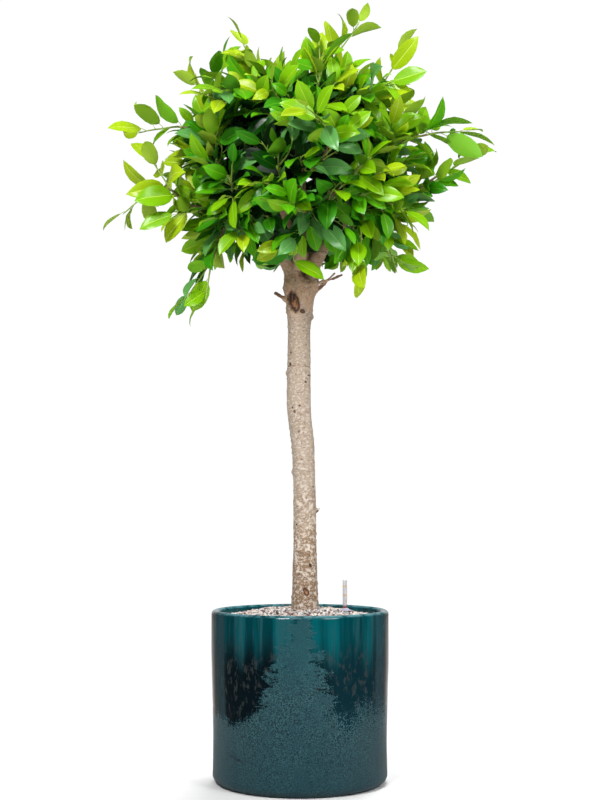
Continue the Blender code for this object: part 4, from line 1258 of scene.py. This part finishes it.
def fork_leaf():
    """(place, pose) of the one leaf that is given, at the tip of the last shoot. It crosses the fork."""
    tip = np.array(shoot_tips()[-1][0])
    twig = min(crown["front"][0], key=lambda twig: np.linalg.norm(twig.points[-1] - tip))
    place = Vector(twig.points[-1])
    root, end = place + Vector((0.002, 0.001, -0.009)), place + Vector((0.053, 0.004, -0.034))
    along, face = (end - root).normalized(), Vector((0.05, -0.80, 0.60))
    normal = (face - along * face.dot(along)).normalized()
    return place, (root, along, normal.cross(along), normal, (end - root).length, 0.030)


print("leaf across the fork is", round(fork_leaf()[1][4] * 1000, 1), "mm long")

# %% [markdown]
# A leaf that would cut into a limb or into another leaf is tried again at another angle, and then left
# out. Leaves keep above a floor that rises towards the back, so that the stem's top stays clear, except
# on the shoots that hang below it. After the first pass, a second and closer one adds older leaves to
# the inner twigs of the back half, so that little sky shows through the middle of the crown.


# %% Place the leaves
LEAF_FLOOR, LEAF_CEILING, FLOOR_SLOPE, INNER_REACH = 0.864, 1.343, 0.18, 0.97
MOST_LEAVES, LEAF_TRIES, BACK_FROM = 6000, 12, -0.02
leaves = []  # (mass, twig place, root, along, across, normal, length, width, youth with painted light)
centres, trees = np.empty((MOST_LEAVES, 3)), []


def keep_leaf(name, place, pose, youth_and_light, middle, tree):
    """Lists a leaf, with the middle and the tree that later leaves are tested against."""
    centres[len(trees)] = middle
    trees.append(tree)
    leaves.append((name, place, *pose, youth_and_light))


def leaf_youth_and_light(middle, back, chance):
    """How young a leaf is: younger far out in the crown, near its twig's tip and high up. Painted light makes
    it paler near the crown's outline as seen from the front and in front, and painted shade darker in the
    middle.
    """
    height = (middle[2] - CROWN_CENTRE.z) / CROWN_RADIUS
    # rim is how far out the leaf lies as seen from the front: painted light makes the outline paler, and
    # painted shade makes the middle darker.
    rim = math.hypot(height, middle[0] / CROWN_RADIUS) - 0.78
    youth_and_light = 0.90 * (min(shell_share(middle), 1.12) - 0.70) + 0.28 * math.exp(-back / 0.040)
    youth_and_light += 0.06 * height + 0.12 + 0.54 * max(-0.45, min(0.16, rim))
    # The last term makes leaves in front paler, as painted light from the front.
    return youth_and_light + chance + 0.4 * max(0.0, -middle[1] - 0.11)


def bear_leaves(name, twig, number, hanging=False, least_step=0.0094, old=0.0):
    """Leaves along a twig from its tip back, each tried at up to twelve angles until one is free."""
    dice = random.Random(LEAF_SEED * 10000 + number)
    spray_youth = dice.random() - old
    side_sign, back = dice.choice((-1, 1)), 0.0005
    lowest = twig.points[-1][2] - LONGEST_LEAF if hanging else LEAF_FLOOR
    slope = 0.0 if hanging else FLOOR_SLOPE
    while back < twig.length - 0.006:
        place, ahead = twig.at(back)
        for attempt in range(LEAF_TRIES):
            pose = leaf_pose(place, ahead, side_sign, back, attempt, dice)
            corners, triangles = rough_leaf(*pose)
            spots = np.array(corners)
            if room_to_limbs(spots) < 0.003 or room_to_walls(spots, name) < -0.045:
                continue
            middle = spots.mean(axis=0)
            clear_of_head = 0.0 if hanging else 0.022 * math.exp(-((middle[0] / 0.048) ** 2))
            if (spots[:, 2] - slope * spots[:, 1]).min() < lowest + clear_of_head:
                continue
            if spots[:, 2].max() > LEAF_CEILING or (old and shell_share(middle) > INNER_REACH):
                continue
            away = np.linalg.norm(centres[: len(trees)] - middle, axis=1)
            tree = BVHTree.FromPolygons(corners, triangles)
            if any(tree.overlap(trees[k]) for k in np.flatnonzero(away < LONGEST_LEAF)):
                continue
            chance = 0.64 * (spray_youth - 0.5) + 0.24 * (dice.random() - 0.5)
            keep_leaf(name, place, pose, leaf_youth_and_light(middle, back, chance), middle, tree)
            break
        apart = least_step + 0.004 * dice.random() + 0.02 * min(0.28, max(0.0, shell_share(place) - 1.08))
        apart *= (1.0 if back < twig.leafy else 1.35) * (1.5 if hanging else 1.0)
        back += apart if back > 0.001 else 0.009
        side_sign = -side_sign


print("most leaves:", MOST_LEAVES)

# %% [markdown]
# Both passes go over the crown in the same order, and each twig's leaves come from a dice of its own, so
# a change to one twig hardly changes the others. The masses' stems bear leaves in the second pass only.

# %% Bear leaves on every twig
outer, inner = [], []
for name, (main, side) in crown.items():
    for twig in main + side:
        tip_height = twig.points[-1][2]
        if twig is not main[0]:
            outer.append((name, twig, twig in main and tip_height < LEAF_FLOOR))
        if tip_height > LEAF_FLOOR and twig.points[:, 1].mean() > BACK_FROM:
            inner.append((name, twig))
place, pose = fork_leaf()
corners, triangles = rough_leaf(*pose)
middle, tree = np.array(corners).mean(axis=0), BVHTree.FromPolygons(corners, triangles)
keep_leaf("front", place, pose, 0.70, middle, tree)
for number, (name, twig, hanging) in enumerate(outer, 1):
    bear_leaves(name, twig, number, hanging)
print("leaves of the first pass:", len(leaves))
for number, (name, twig) in enumerate(inner, len(outer) + 1):
    bear_leaves(name, twig, number, least_step=0.0070, old=0.35)
print("leaves:", len(leaves))

# %% [markdown]
# ### The shape of a leaf
# A leaf is a surface of two parameters: u runs from stalk to tip and v from edge to edge. Its outline is
# an ellipse with a drawn-out tip, its halves are folded up from the midrib and bulge a little, and it
# bends down along its length. The back is a coarser grid that shares the rim, so the blade is closed
# and has a real thickness.

# %% The leaf's faces
STATION = np.array([0.04, 0.15, 0.33, 0.54, 0.73, 0.88, 0.955])
HALF_WIDTH = np.array([0.34, 0.72, 0.97, 1.00, 0.83, 0.46, 0.15])
ACROSS = np.array([-1.0, -0.52, -0.045, 0.045, 0.52, 1.0])
ROWS, COLUMNS = len(STATION), len(ACROSS)


def blade_faces():
    """(faces, kind of each) over the corners: the upper grid, then base, tip, and the back's midrib.
    Kinds are 0 upper side, 1 midrib, 2 underside."""
    base, tip, back = ROWS * COLUMNS, ROWS * COLUMNS + 1, ROWS * COLUMNS + 2
    faces, kinds = [], []
    for j in range(COLUMNS - 1):
        kind = 1 if j == COLUMNS // 2 - 1 else 0
        for i in range(ROWS - 1):
            a = i * COLUMNS + j
            faces.append((a, a + COLUMNS, a + COLUMNS + 1, a + 1))
            kinds.append(kind)
        last = (ROWS - 1) * COLUMNS + j
        faces += [(base, j, j + 1), (last + 1, last, tip)]
        kinds += [kind, kind]
    for i in range(ROWS - 1):
        left, right = i * COLUMNS, i * COLUMNS + COLUMNS - 1
        faces.append((left, back + i, back + i + 1, left + COLUMNS))
        faces.append((back + i, right, right + COLUMNS, back + i + 1))
    left, right, end = (ROWS - 1) * COLUMNS, ROWS * COLUMNS - 1, back + ROWS - 1
    faces += [(base, back, 0), (base, COLUMNS - 1, back), (left, end, tip), (end, right, tip)]
    kinds += [2] * (2 * (ROWS - 1) + 4)
    return faces, kinds


blade, kinds = blade_faces()
print("faces in a blade:", len(blade))

# %% [markdown]
# All leaves are worked out together: each number below is an array with one value for each leaf, so one
# line shapes them all. No two leaves are folded, bent, curled, swept and waved alike.


# %% The leaf's corners
def blade_corners(length, width, fold, bend, curl, sweep, wave):
    """Corners of every leaf in its own frame, (leaves, corners, 3).

    x = u length; y = v W(u) + sweep u^2 length; z = |v| W fold + bulge - bend u^2 length - curl, where W(u)
    is the half width, the bulge is 0.10 W sin(pi |v|), and the tip's curl starts at u = 0.7."""
    u = STATION[None, :, None] + 0 * length[:, None, None]
    v = ACROSS[None, None, :]
    half = HALF_WIDTH[None, :, None] * width[:, None, None] / 2
    fold, wave = fold[:, None, None], wave[:, None, None]
    x = u * length[:, None, None] + 0 * v
    y = v * half
    z = abs(v) * half * fold + 0.10 * half * np.sin(math.pi * abs(v)) - 0.0002 * (abs(v) < 0.1)
    z = z + wave * half * np.abs(v) ** 3 * np.sin(9 * u + 3 * v)
    upper = np.stack([x, y, z], -1).reshape(len(length), -1, 3)
    zero = 0 * length
    ends = np.stack([np.stack([zero, zero, zero], -1), np.stack([length, zero, zero], -1)], 1)
    thickness = 0.0007 * np.array([0.7, 1.0, 1.0, 0.9, 0.8, 0.6, 0.4])
    back = np.stack([u[..., 0] * length[:, None], 0 * u[..., 0], -thickness + 0 * u[..., 0]], -1)
    corners = np.concatenate([upper, ends, back], 1)
    share = corners[..., 0] / length[:, None]
    corners[..., 1] += sweep[:, None] * share**2 * length[:, None]
    drop = bend[:, None] * share**2 + curl[:, None] * np.clip(share - 0.7, 0, 1) ** 2 * 3
    corners[..., 2] -= drop * length[:, None]
    return corners


flat = blade_corners(*np.array([[1.0], [0.5], [0], [0], [0], [0], [0]]))
print("corners in a blade:", flat.shape[1])

# %% [markdown]
# The stalk belongs to its leaf's mesh. At a millimetre and a half thick it needs three sides only.

# %% The stalk
STALK_AROUND = 3


def stalk_corners(place, root, along, across, normal):
    """A stalk from the twig to the blade: three rings of corners on a curve that arrives along the leaf."""
    handle = root - along * np.linalg.norm(root - place, axis=1)[:, None] * 0.45
    turn = np.arange(STALK_AROUND) * math.tau / STALK_AROUND + math.pi / 2
    rings = []
    for t, radius in ((0.0, 0.00085), (0.5, 0.00065), (1.0, 0.00075)):
        point = place * (1 - t) ** 2 + handle * 2 * t * (1 - t) + (root + along * 0.001) * t * t
        ring = across[:, None] * np.cos(turn)[:, None] + normal[:, None] * np.sin(turn)[:, None]
        rings.append(point[:, None] + ring * radius)
    return np.concatenate(rings, 1)


def stalk_faces(first):
    """The sides between the stalk's rings, and its two ends. Its corners start at number first."""
    faces = grid_faces(3, STALK_AROUND) + [(2, 1, 0), (6, 7, 8)]
    return [tuple(corner + first for corner in face) for face in faces]


leaf_faces = blade + stalk_faces(ROWS * COLUMNS + 2 + ROWS)
leaf_kinds = np.array(kinds + [3] * (2 * STALK_AROUND + 2))
print("faces in a leaf:", len(leaf_faces))

# %% [markdown]
# ### The leaves' colours
# A young leaf is thin, and lime to yellow-green. It darkens as it ages, and old leaves inside the crown
# are bottle green. Colour therefore follows age, and age follows the place: young at the tips of shoots
# and outside, old inside. Each twig's leaves as a whole are also a little younger or older than its
# neighbours'. Painted light is mixed in: leaves near the crown's outline as the camera sees it, and in
# front, are dealt paler tints and those in the middle darker ones. The darkest tint is partly painted shade,
# the palest partly stand for light shining through thin leaves, and a grey-green tint is a painted sheen on
# some of the darker leaves. A handful of plain finishes is enough, and each leaf is dealt one.

# %% The leaves' finishes
TINTS = (  # name, upper side, midrib, underside, least youth with painted light
    # The deep tint is partly painted shade. Lime and yellow partly stand for light shining through thin
    # leaves. The last tint is a painted grey-green sheen.
    ("deep", (4, 31, 3), (18, 60, 12), (30, 78, 22), -9.0),
    ("dark", (12, 64, 5), (46, 104, 20), (50, 108, 26), 0.14),
    ("mid", (48, 124, 10), (92, 156, 26), (80, 142, 28), 0.28),
    ("fresh", (76, 152, 8), (130, 186, 34), (104, 162, 28), 0.44),
    ("lime", (112, 166, 6), (158, 194, 50), (130, 172, 34), 0.64),
    ("yellow", (148, 178, 16), (184, 206, 80), (152, 184, 50), 0.88),
    ("bloom", (82, 140, 68), (114, 166, 90), (104, 154, 84), None),
)
PAINTED_SHEEN_SHARE, PAINTED_SHEEN_BELOW = 0.17, 4  # how many leaves have the painted sheen, and the first tint that never has
leaf_finishes = []
for name, *codes, _ in TINTS:
    shine, dulled = (0.18, 0.18) if name == "deep" else (0.26, 0.0)
    for part, code, rough in zip(("upper", "rib", "under"), codes, (0.30, 0.40, 0.55)):
        finish = plain_finish(f"leaf_{name}_{part}", paint(*code), rough + dulled, Specular_IOR_Level=shine)
        leaf_finishes.append(finish)
leaf_finishes.append(plain_finish("leaf_stalk", paint(150, 178, 66), 0.5))
shoot_green = plain_finish("shoot_green", paint(132, 158, 62), 0.5)
shoot_brown = plain_finish("shoot_brown", paint(112, 88, 62), 0.7)
old_twig = plain_finish("old_twig", paint(92, 70, 52), 0.8)


def dealt_tints(youth_and_light):
    """The tint of each leaf: the palest whose least level it reaches, and now and then the painted sheen."""
    tint = np.searchsorted([least for *_, least in TINTS[:-1]], youth_and_light, side="right") - 1
    chance = np.random.default_rng(12).random(len(youth_and_light))
    return np.where((chance < PAINTED_SHEEN_SHARE) & (tint < PAINTED_SHEEN_BELOW), len(TINTS) - 1, tint)


print("leaf finishes:", len(leaf_finishes))

# %% [markdown]
# A blade is worked out lying flat along X. Its frame, the three directions along, across and out of the
# leaf, turns it into place: a corner's place is the root plus its x, y and z along those directions.

# %% Shape every leaf
names = np.array([leaf[0] for leaf in leaves])
places, roots, alongs, acrosses, normals = (np.array([leaf[k] for leaf in leaves]) for k in range(1, 6))
lengths, widths, youths_and_light = (np.array([leaf[k] for leaf in leaves]) for k in range(6, 9))
dice = np.random.default_rng(8)
number = len(leaves)
local = blade_corners(
    lengths,
    widths,
    fold=dice.uniform(0.04, 0.36, number),
    bend=dice.uniform(-0.03, 0.17, number),
    curl=dice.uniform(0.0, 0.6, number),
    sweep=dice.normal(0, 0.05, number),
    wave=dice.uniform(0.0, 0.14, number),
)
frames = np.stack([alongs, acrosses, normals], 1)
blades = roots[:, None] + np.einsum("nci,nij->ncj", local, frames)
stalks = stalk_corners(places, roots, alongs, acrosses, normals)
leaf_corners = np.concatenate([blades, stalks], 1)
tints = dealt_tints(youths_and_light)
leaf_finish = np.where(leaf_kinds[None] == 3, 3 * len(TINTS), 3 * tints[:, None] + leaf_kinds[None])
print("leaves of each tint:", np.bincount(tints, minlength=len(TINTS)))

# %% [markdown]
# ### Twigs
# Every twig is a closed tube that tapers to its tip, where a slim pointed bud goes on. Young wood is
# green and old wood is brown, so each tube takes its finish from how thick it is.

# %% Join the twigs and the leaves
BUD, BROWN_FROM = 0.009, (0.0019, 0.0027)


def budded(twig):
    """The twig's points and radii with its bud's: the bud's radii fall from the tip's to a point."""
    points, radii = twig.points, twig.radii
    if twig.leafy:
        ahead = points[-1] - points[-2]
        ahead = ahead / np.linalg.norm(ahead)
        points = np.vstack([points, points[-1] + ahead * BUD * 0.4, points[-1] + ahead * BUD])
        radii = np.append(radii, [TWIG_TIP_RADIUS * 0.95, TWIG_TIP_RADIUS * 0.15])
    return points, radii


def twig_kinds(twig, around):
    """The finish of each face of the tube, from its radius: 0 green, 1 brown, 2 old."""
    rows = np.searchsorted(BROWN_FROM, budded(twig)[1][:-1])
    return np.repeat(np.append(rows, (rows[0], rows[-1])), around)


for name, (main, side) in crown.items():
    sized = [(twig, 6) for twig in main] + [(twig, 5) for twig in side]
    corners, faces = joined([tube_grid(*budded(twig), around) for twig, around in sized])
    kinds_there = np.concatenate([twig_kinds(twig, around) for twig, around in sized])
    twigs = mesh_piece("twigs_" + name, corners, faces, [shoot_green, shoot_brown, old_twig], kinds_there)
    mine = names == name
    first = np.arange(mine.sum()) * leaf_corners.shape[1]
    faces = [tuple(c + f for c in face) for f in first.tolist() for face in leaf_faces]
    corners, finish = leaf_corners[mine].reshape(-1, 3), leaf_finish[mine].ravel()
    piece = mesh_piece("leaves_" + name, corners, faces, leaf_finishes, finish)
    piece.data.set_sharp_from_angle(angle=math.radians(60))
    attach(twigs, "root")
    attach(piece, "root")
    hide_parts("mass_" + name)
    print(name, "twig faces:", len(twigs.data.polygons), "leaf faces:", len(faces))

# %% [markdown]
# ## The studio
# The plant stands on a plain pale floor in soft light. A large lamp in front, high on the left, is the
# key, a second on the right fills the shadows, and a third above and behind draws the crown's edge.
# The sky is white to look at and dimmer as a light. To the camera the floor fades to the same white half
# a metre out. In mirror-like reflections floor and sky are dark in front and dim behind, as black flags
# beside a glossy pot make them in a real studio.

# %% The floor
FLOOR_RADIUS, FLOOR_HEIGHT, FLOOR_SIDES = 30, -0.0004, 64
turn = np.arange(FLOOR_SIDES) * math.tau / FLOOR_SIDES
edge = np.stack([FLOOR_RADIUS * np.cos(turn), FLOOR_RADIUS * np.sin(turn), 0 * turn + FLOOR_HEIGHT], 1)
corners = np.vstack([edge, [[0, 0, FLOOR_HEIGHT]]])
floor_finish = plain_finish("floor", (0.72, 0.72, 0.72, 1), 0.9)
sweep = Recipe(floor_finish.node_tree)
matt = floor_finish.node_tree.nodes["Principled BSDF"]
rays = sweep.node("ShaderNodeLightPath").outputs
spot = sweep.node("ShaderNodeTexCoord").outputs["Object"]
away = sweep.node("ShaderNodeVectorMath", {0: spot}, operation="LENGTH").outputs["Value"]
glow = sweep.node("ShaderNodeEmission", {"Color": (1, 1, 1, 1), "Strength": 1.05}).outputs[0]
behind = sweep.math("DIVIDE", sweep.node("ShaderNodeSeparateXYZ", {0: spot}).outputs[1], away)
flagged = sweep.mix(sweep.step(behind, 0.70, 0.95), (0.05, 0.05, 0.05, 1), (0.45, 0.45, 0.45, 1))
sweep.feed(matt.inputs["Base Color"], sweep.mix(rays["Is Glossy Ray"], (0.72, 0.72, 0.72, 1), flagged))
seen_far = sweep.times(sweep.step(away, 0.155, 0.50), rays["Is Camera Ray"])
blend = sweep.node("ShaderNodeMixShader", {0: seen_far, 1: matt.outputs[0], 2: glow}).outputs[0]
sweep.feed(floor_finish.node_tree.nodes["Material Output"].inputs[0], blend)
floor = mesh_piece("floor", corners, fan_faces(FLOOR_SIDES, range(FLOOR_SIDES)), [floor_finish])
print("floor nodes:", len(floor_finish.node_tree.nodes))

# %% [markdown]
# The sky's strength depends on who asks: the camera sees white, soft light gets a third of that, and a
# glossy surface gets dark in front and a dim bright backdrop behind the plant.

# %% The sky
world = bpy.data.worlds.new("studio")
bpy.context.scene.world = world
world.use_nodes = True
sky = Recipe(world.node_tree)
sky_light = world.node_tree.nodes["Background"]
sky_light.inputs["Color"].default_value = (1, 1, 1, 1)
rays = sky.node("ShaderNodeLightPath").outputs
strength = sky.math("MULTIPLY_ADD", rays["Is Camera Ray"], 0.70, 0.32)
direction = sky.node("ShaderNodeSeparateXYZ", {0: sky.node("ShaderNodeTexCoord").outputs["Generated"]})
backdrop = sky.step(direction.outputs[1], 0.80, 0.97, -0.26, 0.24)
sky.feed(sky_light.inputs["Strength"], sky.math("MULTIPLY_ADD", rays["Is Glossy Ray"], backdrop, strength))
print("sky nodes:", len(world.node_tree.nodes))

# %% [markdown]
# The lamps are squares about a metre wide, so shadows have soft edges. The rim lamp is hidden from
# reflections, so that its image doesn't show on the pot.


# %% The lamps
def soft_lamp(name, place, target, size, power):
    """A square area lamp at a place, turned to a target."""
    data = bpy.data.lights.new(name, "AREA")
    data.shape, data.size, data.energy = "SQUARE", size, power
    lamp = bpy.data.objects.new(name, data)
    lamp.location = place
    lamp.rotation_euler = (Vector(target) - Vector(place)).to_track_quat("-Z", "Y").to_euler()
    bpy.context.scene.collection.objects.link(lamp)
    return lamp


soft_lamp("key", (-1.1, -2.4, 2.6), (0, 0, 0.85), 0.8, 104)
soft_lamp("fill", (1.8, -2.0, 1.9), (0, 0, 0.75), 1.0, 52)
rim = soft_lamp("rim", (0.4, 1.2, 3.0), (0, 0, 1.0), 1.5, 110)
rim.visible_glossy = False
print("lamps:", len(bpy.data.lights))

# %% [markdown]
# The camera stands 2.3 m in front at knee height and looks slightly up, with a lens of about 60 mm.

# %% Camera
LENS, SENSOR, PITCH = 60.345, 36, math.radians(4.75)
camera = bpy.data.objects.new("camera", bpy.data.cameras.new("camera"))
camera.data.lens, camera.data.sensor_width = LENS, SENSOR
camera.location = (0, -2.30, 0.452)
camera.rotation_euler = (math.radians(90) + PITCH, 0, 0)
bpy.context.scene.collection.objects.link(camera)
bpy.context.scene.camera = camera
bpy.context.scene.view_settings.view_transform = "Standard"
print("camera at", tuple(camera.location))

# %% [markdown]
